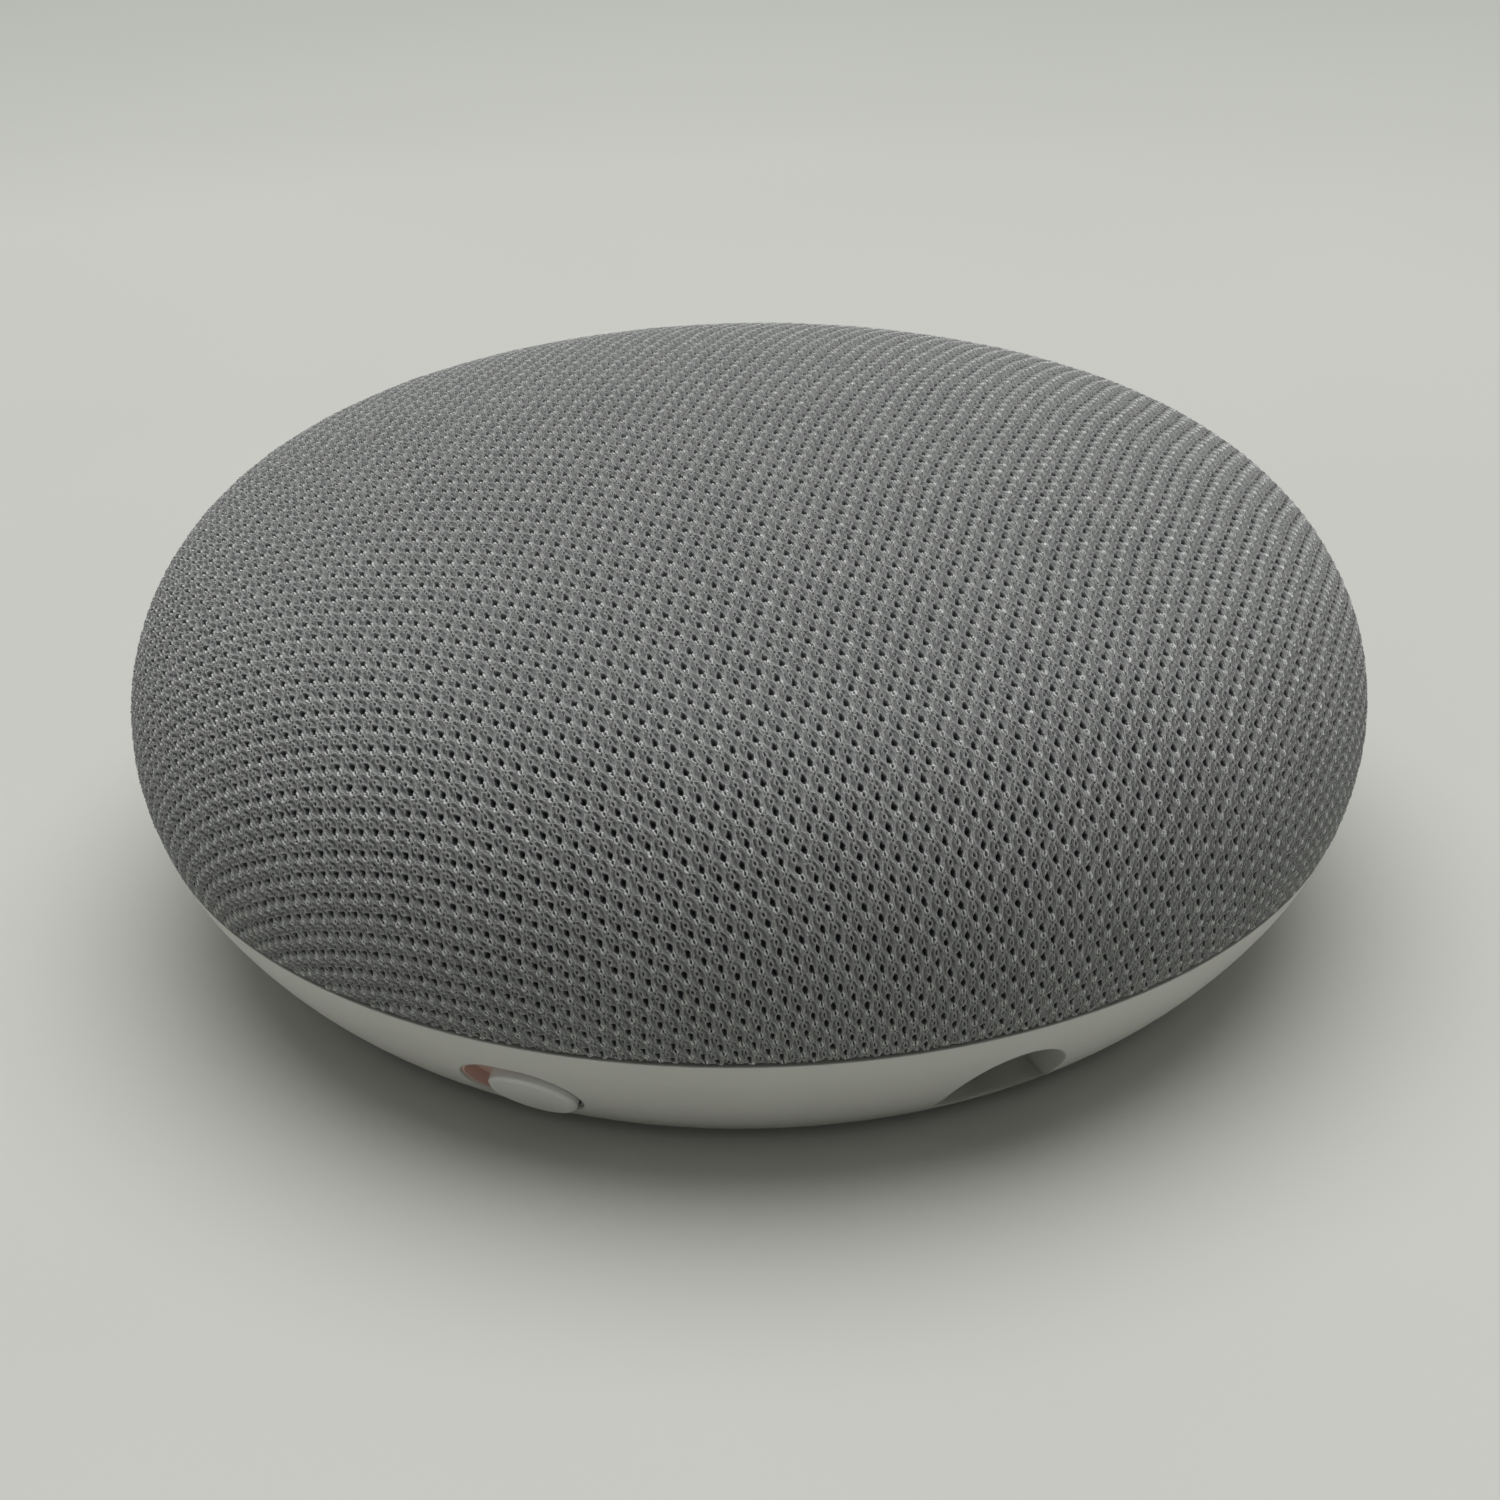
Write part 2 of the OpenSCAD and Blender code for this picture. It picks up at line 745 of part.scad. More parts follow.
module pad_adhesive() {
    color("#c9c4b0") difference() {
        translate([0, 0, pad_t]) cylinder(r = pad_r - pad_edge, h = film_t);
        around(boss_ring, boss_angles) cylinder(d = case_head_d + 2 * fit, h = pad_z + cut);
        at_keyhole(0) linear_extrude(pad_z + cut) keyhole(key_d / 2 + 2 * fit, key_slot_w / 2 + 2 * fit);
    }
}

module case_screws() {
    color("#5b5e60") around(boss_ring, boss_angles) translate([0, 0, seat_z]) rotate([half_turn, 0, 0]) {
        screw(case_screw_d, case_screw_len, case_head_d, case_head_h);
    }
}

// ---- Mute switch ----

// Round button, with its face towards -Y
module button() {
    edge_r = slider_d / 2;
    face = slider_back + slider_proud;
    translate([0, slider_back, 0]) rotate([quarter_turn, 0, 0]) rotate_extrude() {
        polygon([
            [0, 0], [edge_r, 0], [edge_r, face - slider_edge], [edge_r - slider_edge, face], [0, face]
        ]);
    }
}

module mute_slider() {
    color("#e6e6e3") at_switch() translate([slider_x, 0, 0]) {
        on_bowl() button();
        difference() {
            intersection() {
                bar_out(stem_end, body_r) translate([0, lever_z]) square([stem_w, stem_h], center = true);
                on_bowl() bar_out(-reach, -slider_back / 2) square(reach, center = true);
            }
            bar_out(stem_end - cut, switch_front + lever_len + film_gap) translate([0, lever_z]) {
                square([lever_w + 2 * film_gap, stem_h + cut], center = true);
            }
        }
    }
}

// Coloured cup that lines the recess
module mute_track_plate() {
    cup_w = recess_w - 2 * film_gap;
    cup_h = recess_h - 2 * film_gap;
    color("#d8785f") at_switch() difference() {
        intersection() {
            on_bowl() difference() {
                bar_out(film_gap - recess_depth, reach) stadium(cup_w, cup_h);
                bar_out(track_t - recess_depth, reach + cut) {
                    stadium(cup_w - 2 * track_wall, cup_h - 2 * track_wall);
                }
            }
            rotate_extrude() bowl_band(track_in, foot_z, seam_z);
        }
        stem_slot();
    }
}

module switch_body() {
    color("#3c3e41") at_switch() difference() {
        translate([-switch_w / 2, -switch_front, board_z - switch_h]) {
            cube([switch_w, switch_len, switch_h]);
        }
        bar_out(switch_front - switch_len / 2, reach) translate([0, lever_z]) {
            square([lever_w + slide_travel + 2 * fit, stem_h], center = true);
        }
    }
}

module switch_lever() {
    color("#26282a") at_switch() translate([slider_x, 0, 0]) {
        bar_out(switch_front - switch_len / 2 + fit, switch_front + lever_len) translate([0, lever_z]) {
            square([lever_w, stem_h - 2 * fit], center = true);
        }
    }
}

// ---- Power jack ----

module power_jack_body() {
    color("#2b2d2f") difference() {
        union() {
            translate([-jack_w / 2, jack_len - board_r, board_z - jack_d]) mirror([0, 1, 0]) {
                cube([jack_w, jack_len, jack_d]);
            }
            bar_out(board_r - jack_len, port_back) translate([0, jack_z]) circle(d = jack_d);
        }
        bar_out(board_r - jack_len + port_wall, reach) translate([0, jack_z]) circle(d = jack_bore_d);
    }
}

module power_jack_pin() {
    color("#c8c9c6") bar_out(board_r - jack_len + port_wall + film_gap, port_back - port_wall) {
        translate([0, jack_z]) circle(d = jack_pin_d, $fn = small_fn);
    }
}

// ---- Main board ----

module main_board() {
    color("#2f6b4a") difference() {
        translate([0, 0, board_z]) cylinder(r = board_r, h = board_t);
        around(boss_ring, boss_angles) cylinder(r = boss_r + 2 * fit, h = reach);
        around(standoff_ring, standoff_angles) {
            cylinder(d = board_screw_d + 2 * fit, h = reach, $fn = small_fn);
        }
    }
}

module board_screws() {
    color("#8c8f90") around(standoff_ring, standoff_angles) translate([0, 0, board_top + cup_floor]) {
        screw(board_screw_d, board_screw_len, board_head_d, small_head_h);
    }
}

module chip(size, at) {
    translate([at[0], at[1], board_top]) block(size);
}

// Drawn can, open at the board
module shield_can(size, at) {
    translate([at[0], at[1], board_top]) difference() {
        block([size[0], size[1], can_h]);
        translate([0, 0, -cut]) block([size[0] - 2 * can_t, size[1] - 2 * can_t, can_h - can_t + cut]);
    }
}

module processor() { color("#222426") chip(processor_size, processor_at); }

module processor_shield() { color("#b9bcbd") shield_can(processor_can, processor_at); }

module radio_chip() { color("#222426") chip(radio_size, radio_at); }

module radio_shield() { color("#b9bcbd") shield_can(radio_can, radio_at); }

module thermal_pad() {
    color("#8fa7b8") translate([processor_at[0], processor_at[1], can_top]) {
        block([processor_size[0], processor_size[1], thermal_t]);
    }
}

module heat_spreader() {
    color("#c3c6c8") difference() {
        union() {
            translate([0, 0, spreader_z]) cylinder(r = spreader_r, h = spreader_t);
            around(standoff_ring, standoff_angles) translate([0, 0, board_top]) {
                cylinder(r = cup_r, h = spreader_top - board_top);
            }
        }
        around(standoff_ring, standoff_angles) {
            translate([0, 0, board_top + cup_floor]) cylinder(d = board_head_d + 2 * fit, h = reach);
            translate([0, 0, board_z]) cylinder(d = board_screw_d + 2 * fit, h = reach, $fn = small_fn);
        }
    }
}

module power_choke() { color("#5a5148") chip(choke_size, choke_at); }

module power_capacitors() {
    color("#9aa0a3") around(cap_ring, cap_angles) translate([0, 0, board_top]) {
        cylinder(d = cap_d, h = cap_h);
    }
}

module board_connectors() {
    color("#e4dcc2") for (x = [wire_x, ribbon_x]) chip(connector_size, [x, 0]);
}

module wifi_antennas() {
    color("#c9b27a") for (a = antenna_starts) rotate([0, 0, a]) rotate_extrude(angle = antenna_span) {
        translate([antenna_ring, board_top]) square([antenna_t, antenna_h]);
        translate([antenna_ring - antenna_lip, board_top + antenna_h - antenna_t]) {
            square([antenna_lip + antenna_t, antenna_t]);
        }
    }
}

// ---- Speaker box ----

module speaker_tub() {
    color("#46494c") difference() {
        union() {
            translate([0, 0, box_z]) cylinder(r = box_r, h = lid_z - box_z);
            around(boss_ring, boss_angles) translate([0, 0, box_z]) {
                cylinder(r = boss_r, h = ear_t);
                translate([-boss_r - box_t, -boss_r, 0]) cube([boss_r + box_t, 2 * boss_r, ear_t]);
            }
        }
        translate([0, 0, box_z + box_t]) cylinder(r = box_r - box_t, h = reach);
        around(boss_ring, boss_angles) cylinder(d = case_screw_d + 2 * fit, h = reach);
    }
}

module speaker_lid() {
    color("#54585b") difference() {
        union() {
            translate([0, 0, lid_z]) cylinder(r = box_r, h = box_t);
            translate([0, 0, lid_z - box_t]) cylinder(r = box_r - box_t - fit, h = box_t);
        }
        translate([0, 0, lid_z - box_t - cut]) difference() {
            cylinder(r = box_r - 2 * box_t, h = box_t + cut);
            around(driver_screw_ring, driver_screw_angles) cylinder(r = driver_ear_r, h = 2 * box_t);
        }
        cylinder(r = lid_hole_r, h = reach);
        around(driver_screw_ring, driver_screw_angles) cylinder(d = driver_screw_d + fit, h = reach);
    }
}

// Outline of the driver's flange: round, with four screw ears and a tab for its terminals
module flange_shape() {
    circle(r = flange_r);
    for (a = driver_screw_angles) rotate(a) {
        translate([driver_screw_ring, 0]) circle(r = driver_ear_r);
        translate([0, -driver_ear_r]) square([driver_screw_ring, 2 * driver_ear_r]);
    }
    translate([0, -tab_w / 2]) square([tab_end, tab_w]);
}

module driver_screw_holes() {
    around(driver_screw_ring, driver_screw_angles) cylinder(d = driver_screw_d + 2 * fit, h = reach);
}

module driver_gasket() {
    color("#1f2022") difference() {
        translate([0, 0, lid_top]) linear_extrude(gasket_t) flange_shape();
        cylinder(r = lid_hole_r, h = reach);
        driver_screw_holes();
    }
}

module driver_basket() {
    step_r = seat_r + basket_t / 2;
    color("#6c7073") difference() {
        union() {
            rotate_extrude() polygon([
                [wall_r, flange_top], [flange_r, flange_top], [flange_r, driver_z],
                [wall_r + basket_t, driver_z], [wall_r - basket_t / 2, seat_top - basket_t / 2],
                [step_r, seat_top - basket_t / 2], [step_r, yoke_top], [yoke_in, yoke_top],
                [yoke_in, yoke_top + basket_t / 2], [seat_r, yoke_top + basket_t / 2],
                [seat_r, seat_top], [wall_r - 1.5 * basket_t, seat_top], [wall_r, driver_z]]);
            difference() {
                translate([0, 0, driver_z]) linear_extrude(flange_t) flange_shape();
                cylinder(r = wall_r + basket_t, h = reach);
            }
        }
        driver_screw_holes();
        for (a = quarters(0)) rotate([0, 0, a]) translate([seat_r, -window_w / 2, seat_top + basket_t]) {
            cube([seat_r, window_w, driver_z - seat_top - 2 * basket_t]);
        }
    }
}

module driver_yoke() {
    color("#55585b") translate([0, 0, yoke_z]) difference() {
        cylinder(d = yoke_d, h = yoke_top - yoke_z);
        translate([0, 0, yoke_base]) cylinder(r = yoke_in, h = reach);
    }
}

module driver_magnet() {
    color("#3a3c3f") translate([0, 0, yoke_z + yoke_base]) cylinder(r = pole_r, h = magnet_t);
}

module driver_pole_plate() {
    color("#84888b") translate([0, 0, yoke_top - pole_t]) cylinder(r = pole_r, h = pole_t);
}

module voice_coil() {
    color("#b06a3a") {
        translate([0, 0, former_z]) tube(former_d / 2, former_d / 2 - former_t, neck_z + cone_t - former_z);
        translate([0, 0, winding_z]) tube(coil_r, former_d / 2 - former_t / 2, winding_h);
    }
}

module speaker_cone() {
    rim_in = cone_r - cone_rim;
    color("#2a2c2e") rotate_extrude() polygon([
        [neck_r, neck_z], [neck_r + cone_t, neck_z], [rim_in + cone_t, flange_top - cone_t],
        [cone_r, flange_top - cone_t], [cone_r, flange_top], [rim_in, flange_top],
        [neck_r, neck_z + cone_t]]);
}

module dust_cap() {
    drop = sqrt(pow(cap_sphere_r, 2) - pow(cap_edge_r, 2));
    color("#333537") translate([0, 0, cap_edge_z - drop]) rotate_extrude() intersection() {
        difference() {
            circle(r = cap_sphere_r);
            circle(r = cap_sphere_r - skin_t);
        }
        translate([0, drop]) square(cap_sphere_r);
    }
}

module surround() {
    color("#1b1c1d") translate([0, 0, flange_top + film_gap]) rotate_extrude() {
        translate([roll_x, 0]) intersection() {
            difference() {
                circle(r = roll_r);
                circle(r = roll_r - skin_t);
            }
            translate([-roll_r, 0]) square([2 * roll_r, roll_r]);
        }
        translate([roll_x - roll_r - cone_rim + 2 * skin_t, 0]) square([cone_rim - skin_t, skin_t]);
        translate([roll_x + roll_r - skin_t, 0]) square([cone_rim, skin_t]);
    }
}

// Corrugated disc: a sine wave between the coil and its seat
module spider() {
    start = coil_r - winding_t + film_gap;
    end = seat_r + cone_rim;
    waves = 3;
    steps = 24;
    wave_h = 0.3;
    flat = seat_top + film_gap;
    path = [for (i = [0:steps]) [start + (end - start - cone_rim) * i / steps,
                                 flat + wave_h * sin(full_turn * waves * i / steps)]];
    lid = [for (i = [0:steps]) path[steps - i] + [0, skin_t]];
    color("#b8923f") rotate_extrude() polygon(concat(path, [[end, flat], [end, flat + skin_t]], lid));
}

module driver_terminals() {
    color("#8a6b3c") for (y = [-wire_pitch, wire_pitch]) {
        translate([tab_end - wire_pitch, y / 2, flange_top]) block([wire_pitch, wire_d, skin_t]);
    }
}

module driver_screws() {
    color("#8c8f90") around(driver_screw_ring, driver_screw_angles) translate([0, 0, flange_top]) {
        screw(driver_screw_d, driver_screw_len, driver_head_d, small_head_h);
    }
}

// ---- Wiring ----

module speaker_wires() {
    low = board_top + connector_size[2];
    high = flange_top + 3 * wire_d;
    tab_x = tab_end - wire_pitch;
    color("#b5483b") for (y = [-wire_pitch, wire_pitch]) translate([0, y / 2, 0]) {
        translate([wire_x, 0, low]) cylinder(d = wire_d, h = high - low, $fn = small_fn);
        translate([tab_x, 0, high]) rotate([0, quarter_turn, 0]) {
            cylinder(d = wire_d, h = wire_x - tab_x, $fn = small_fn);
        }
        translate([tab_x, 0, flange_top + skin_t]) {
            cylinder(d = wire_d, h = high - flange_top - skin_t, $fn = small_fn);
        }
    }
}

// Up the side of the speaker box, then across to the side of its connector
module ribbon_cable() {
    low = board_top + connector_size[2];
    end_x = ribbon_end - connector_size[0] / 2 - film_gap;
    end_z = top_board_z - connector_size[2] / 2 - ribbon_t;
    color("#d8d5c8") rotate([quarter_turn, 0, 0]) linear_extrude(ribbon_w, center = true) polygon([
        [ribbon_x, low], [ribbon_x + ribbon_t, low], [ribbon_x + ribbon_t, ribbon_bend],
        [end_x, end_z], [end_x, end_z + ribbon_t], [ribbon_x, ribbon_bend + ribbon_t]]);
}

// ---- Top board ----

module top_board() {
    color("#2c4f7a") difference() {
        translate([0, 0, top_board_z]) cylinder(r = top_board_r, h = board_t);
        around(top_screw_ring, top_screw_angles) {
            cylinder(d = top_screw_d + 2 * fit, h = reach, $fn = small_fn);
        }
    }
}

module top_board_screws() {
    color("#8c8f90") around(top_screw_ring, top_screw_angles) translate([0, 0, top_board_z]) {
        rotate([half_turn, 0, 0]) screw(top_screw_d, top_screw_len, 2 * top_screw_d, small_head_h);
    }
}

module status_leds() {
    color("#f2efe2") for (x = led_x) translate([x, 0, top_z]) block([led_size[0], led_size[1], led_h]);
}

module light_guide() {
    color("#dfe8ec") intersection() {
        rotate_extrude() outline(dome_out);
        translate([0, 0, bar_z]) {
            linear_extrude(pipe_bar_t) stadium(2 * led_reach + bar_w, bar_w);
            for (x = led_x) translate([x, 0, 0]) cylinder(d = pipe_d, h = body_h - bar_z);
        }
    }
}

module microphones() {
    color("#c4a55a") around(mic_ring, mic_angles) translate([0, 0, top_z]) {
        block([mic_size[0], mic_size[1], mic_h]);
    }
}

module mic_gaskets() {
    low = top_z + mic_h;
    high = crown_at(mic_ring + mic_gasket_r, dome_in + film_gap);
    color("#1f2022") around(mic_ring, mic_angles) translate([0, 0, low]) {
        tube(mic_gasket_r, mic_hole_d / 2, high - low);
    }
}

// Sensing foil on the inside of the dome: one pad each side of the lights and one behind them
module touch_pads() {
    color("#c78b52") intersection() {
        rotate_extrude() difference() {
            outline(dome_in + film_gap);
            outline(dome_in + film_gap + touch_t);
        }
        translate([0, 0, top_z]) linear_extrude(body_h - top_z) {
            for (side = [0, half_turn]) rotate(side) intersection() {
                difference() {
                    circle(r = top_board_r);
                    circle(r = touch_in);
                }
                polygon([[0, 0], spot(reach, -touch_half_angle), spot(reach, touch_half_angle)]);
            }
            translate([-touch_mid[0] / 2, touch_mid_y]) square(touch_mid);
        }
    }
}

// Bent spring strip from the board up to a pad
module contact(r) {
    top = crown_at(r + contact_len / 2, dome_in + film_gap + touch_t) - film_gap - top_z;
    rotate([quarter_turn, 0, 0]) linear_extrude(contact_w, center = true) {
        translate([-contact_len / 2, 0]) square([contact_len, contact_t]);
        translate([-contact_len / 2, 0]) square([contact_t, top]);
        translate([-contact_len / 2, top - contact_t]) square([contact_len, contact_t]);
    }
}

module touch_contacts() {
    color("#d9b65e") {
        for (side = [0, half_turn]) rotate([0, 0, side]) translate([contact_x, 0, top_z]) {
            contact(contact_x);
        }
        translate([0, contact_y, top_z]) contact(contact_y);
    }
}

module ribbon_connector() {
    color("#e4dcc2") translate([ribbon_end, 0, top_board_z - connector_size[2]]) block(connector_size);
}

fabric_cover();
top_shell();
bottom_shell();
base_pad();
pad_adhesive();
case_screws();
mute_slider();
mute_track_plate();
switch_body();
switch_lever();
power_jack_body();
power_jack_pin();
main_board();
board_screws();
processor();
processor_shield();
radio_chip();
radio_shield();
thermal_pad();
heat_spreader();
power_choke();
power_capacitors();
board_connectors();
wifi_antennas();
speaker_tub();
speaker_lid();
driver_gasket();
driver_basket();
driver_yoke();
driver_magnet();
driver_pole_plate();
voice_coil();
speaker_cone();
dust_cap();
surround();
spider();
driver_terminals();
driver_screws();
speaker_wires();
ribbon_cable();
top_board();
status_leds();
light_guide();
microphones();
mic_gaskets();
touch_pads();
touch_contacts();
ribbon_connector();
top_board_screws();
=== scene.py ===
"""A small round smart speaker: its cloth, finishes, floor and light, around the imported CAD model."""

import math

import bmesh
import bpy
import numpy as np
from mathutils import Matrix, Vector


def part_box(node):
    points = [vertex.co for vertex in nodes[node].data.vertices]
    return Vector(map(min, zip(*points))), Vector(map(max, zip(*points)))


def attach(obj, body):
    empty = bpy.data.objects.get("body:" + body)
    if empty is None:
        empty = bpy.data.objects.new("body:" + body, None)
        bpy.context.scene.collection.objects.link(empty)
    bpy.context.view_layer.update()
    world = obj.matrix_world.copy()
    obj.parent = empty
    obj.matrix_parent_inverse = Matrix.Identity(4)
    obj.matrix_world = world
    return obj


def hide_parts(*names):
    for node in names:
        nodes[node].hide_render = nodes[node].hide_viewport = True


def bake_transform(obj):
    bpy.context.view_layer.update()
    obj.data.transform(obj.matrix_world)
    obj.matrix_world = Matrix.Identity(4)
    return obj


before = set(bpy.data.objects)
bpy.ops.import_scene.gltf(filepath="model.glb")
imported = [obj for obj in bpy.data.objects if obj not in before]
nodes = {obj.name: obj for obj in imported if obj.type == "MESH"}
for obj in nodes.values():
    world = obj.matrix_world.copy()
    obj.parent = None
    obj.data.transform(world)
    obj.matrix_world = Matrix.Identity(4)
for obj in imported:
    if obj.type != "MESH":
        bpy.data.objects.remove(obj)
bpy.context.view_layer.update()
MM = 0.001


# ---- Camera ----

# Degrees round from the port, distances from the middle of the footprint, and degrees of roll
CAMERA_AZIMUTH = -25.0
CAMERA_OUT = 252.4 * MM
CAMERA_UP = 142.98 * MM
AIM_Z = 12.0 * MM
CAMERA_ROLL = -1.03
LENS = 84.02
SENSOR = 36

angle = math.radians(CAMERA_AZIMUTH)
camera_at = Vector((math.sin(angle) * CAMERA_OUT, -math.cos(angle) * CAMERA_OUT, CAMERA_UP))
look = Vector((0, 0, AIM_Z)) - camera_at
camera_data = bpy.data.cameras.new("Camera")
camera = bpy.data.objects.new("Camera", camera_data)
bpy.context.scene.collection.objects.link(camera)
turn = look.to_track_quat("-Z", "Y").to_matrix() @ Matrix.Rotation(math.radians(CAMERA_ROLL), 3, "Z")
camera.matrix_world = Matrix.Translation(camera_at) @ turn.to_4x4()
camera_data.lens = LENS
camera_data.sensor_width = SENSOR
camera_data.clip_start = 0.01
camera_data.clip_end = 20
bpy.context.scene.camera = camera


# ---- Node helpers ----

class Nodes:
    """A material's node tree, built with short calls."""

    def __init__(self, name):
        self.material = bpy.data.materials.new(name)
        self.material.use_nodes = True
        self.tree = self.material.node_tree
        self.tree.nodes.clear()
        self.out = self.add("ShaderNodeOutputMaterial")
        self.shader = self.add("ShaderNodeBsdfPrincipled")
        self.link(self.shader.outputs[0], self.out.inputs[0])

    def add(self, kind, **settings):
        node = self.tree.nodes.new(kind)
        for key, value in settings.items():
            setattr(node, key, value)
        return node

    def link(self, a, b):
        self.tree.links.new(a, b)

    def put(self, socket, value):
        """Link an output to a socket, or write a plain value into it."""
        if isinstance(value, bpy.types.NodeSocket):
            self.link(value, socket)
        else:
            socket.default_value = value

    def math(self, kind, *values):
        node = self.add("ShaderNodeMath", operation=kind)
        for socket, value in zip(node.inputs, values):
            self.put(socket, value)
        return node.outputs[0]

    def vector(self, kind, *values):
        node = self.add("ShaderNodeVectorMath", operation=kind)
        for socket, value in zip(node.inputs, values):
            self.put(socket, value)
        return node.outputs[0]

    def scaled(self, vector, factor):
        node = self.add("ShaderNodeVectorMath", operation="SCALE")
        self.link(vector, node.inputs[0])
        node.inputs["Scale"].default_value = factor
        return node.outputs[0]

    def mix(self, share, a, b):
        """Colour a where share is 0, b where it is 1."""
        node = self.add("ShaderNodeMix", data_type="RGBA")
        self.put(node.inputs[0], share)
        self.put(node.inputs[6], a)
        self.put(node.inputs[7], b)
        return node.outputs[2]

    def span(self, value, low, high, to_low=0.0, to_high=1.0):
        """Map low..high to to_low..to_high, and hold it beyond them."""
        node = self.add("ShaderNodeMapRange")
        for socket, number in zip(node.inputs, (value, low, high, to_low, to_high)):
            self.put(socket, number)
        return node.outputs[0]

    def curve(self, value, points):
        """A smooth curve through points, its first and last ones held beyond the ends."""
        node = self.add("ShaderNodeFloatCurve")
        line = node.mapping.curves[0]
        points = sorted(points)
        line.points[0].location = points[0]
        line.points[1].location = points[-1]
        for point in points[1:-1]:
            line.points.new(*point)
        node.mapping.update()
        self.put(node.inputs["Value"], value)
        return node.outputs[0]

    def where(self):
        return self.add("ShaderNodeTexCoord").outputs["Object"]

    def noise(self, at, scale, detail=3.0, rough=0.5):
        node = self.add("ShaderNodeTexNoise")
        self.link(at, node.inputs["Vector"])
        node.inputs["Scale"].default_value = scale
        node.inputs["Detail"].default_value = detail
        node.inputs["Roughness"].default_value = rough
        return node.outputs[0]

    def cells(self, at, scale):
        node = self.add("ShaderNodeTexVoronoi")
        self.link(at, node.inputs["Vector"])
        node.inputs["Scale"].default_value = scale
        return node.outputs[0]

    def bump(self, height, depth, strength=1.0, edge=0.0):
        """Bump from height, over edges rounded by that radius where it isn't 0."""
        node = self.add("ShaderNodeBump")
        if edge:
            rounded = self.add("ShaderNodeBevel", samples=6)
            rounded.inputs["Radius"].default_value = edge
            self.link(rounded.outputs[0], node.inputs["Normal"])
        node.inputs["Strength"].default_value = strength
        node.inputs["Distance"].default_value = depth
        self.link(height, node.inputs["Height"])
        self.link(node.outputs[0], self.shader.inputs["Normal"])

    def set(self, **values):
        """Set the shader's sockets by name, with _ for a space."""
        for key, value in values.items():
            self.put(self.shader.inputs[key.replace("_", " ")], value)


def shade(colour, factor):
    """The colour made lighter or darker, and held at white."""
    return tuple(min(1.0, c * factor) for c in colour[:3]) + (1.0,)


def from_srgb(r, g, b):
    """Linear colour from values of 0 to 255 as a screen shows them."""
    def one(c):
        c /= 255
        return c / 12.92 if c <= 0.04045 else ((c + 0.055) / 1.055) ** 2.4
    return (one(r), one(g), one(b), 1.0)


# ---- Fabric ----

# Millimetres, all through this section. The outline is an arc for the crown, one for the shoulder down to the
# widest place, and one for the wall below it, down to the hem's fold at the seam.
BODY_R = 49.0
BODY_H = 42.0
EQUATOR_Z = 18.7
SHOULDER_R = 16.8
LOWER_R = 17.7
SEAM_Z = 12.2
HEM_R = 0.5
HEM_IN = 2.6
# Where above the fold the holes begin and cease to get shallower, how far beyond the fold the relief fades,
# and what share of it is left
HEM_THIN = (1.6, 0.2)
HEM_FADE = 1.2
HEM_LEFT = 0.1

# One cell of the knit, across and along, which has a hole in its middle and one at its corners, and the mesh's
# points in it
CELL_U = 1.84
CELL_V = 2.24
SAMPLES = ((16, 18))
# How many finer points the stitch's relief is worked out at for each point of the mesh
FINE = 5
# How far the cloth is drawn across and along, and how much less at the crown and more per millimetre from it
WIDEN = (1.06, 0.98)
CROWN_SHARE = 0.85
SPREAD = 0.0035
# How far stitches stray, over how wide a patch
STRAY = ((0.045, 2.6), (0.10, 16))
# How uneven the relief is, over how wide a patch and of how many waves
UNEVEN = ((0.012, 0.9, 7), (0.02, 5, 5))

# Depths from the cloth's outside: the bottom of a hole, the same at the hem, and the cloth's inside
PIT = -0.72
HEM_PIT = -0.36
LINING = -0.86
# The inside's mesh: points round, rings down to the hem, where above the fold two more lie, and rings from
# there in to the cloth's edge, the first of them this much further in
SPOKES = 240
WALL_RINGS = 30
TURN_RINGS = (0.9, 0.4)
LIP_RINGS = 4
LIP_GAP = 0.4
# The bake's map: the outside's share of its width, and the middle and radius of the inside's disc
MAP_SHARE = 0.98
MAP_CORNER = (0.07, 0.065)

shoulder_x = BODY_R - SHOULDER_R
rise = BODY_H - EQUATOR_Z
crown_r = (shoulder_x ** 2 + rise ** 2 - SHOULDER_R ** 2) / (2 * (rise - SHOULDER_R))
crown_z = BODY_H - crown_r
crown_angle = math.atan2(shoulder_x, EQUATOR_Z - crown_z)
hem_drop = math.asin((EQUATOR_Z - SEAM_Z - HEM_R) / (LOWER_R - HEM_R))
CROWN_END = crown_r * crown_angle
SHOULDER_END = CROWN_END + SHOULDER_R * (math.pi / 2 - crown_angle)
WALL_END = SHOULDER_END + LOWER_R * hem_drop
FOLD_END = WALL_END + HEM_R * (math.pi / 2 - hem_drop)
CUT_R = FOLD_END + HEM_IN
# How far the flat knit reaches before it is drawn out to the cut edge
KNIT_R = math.log(1 + SPREAD * CUT_R / CROWN_SHARE) / SPREAD


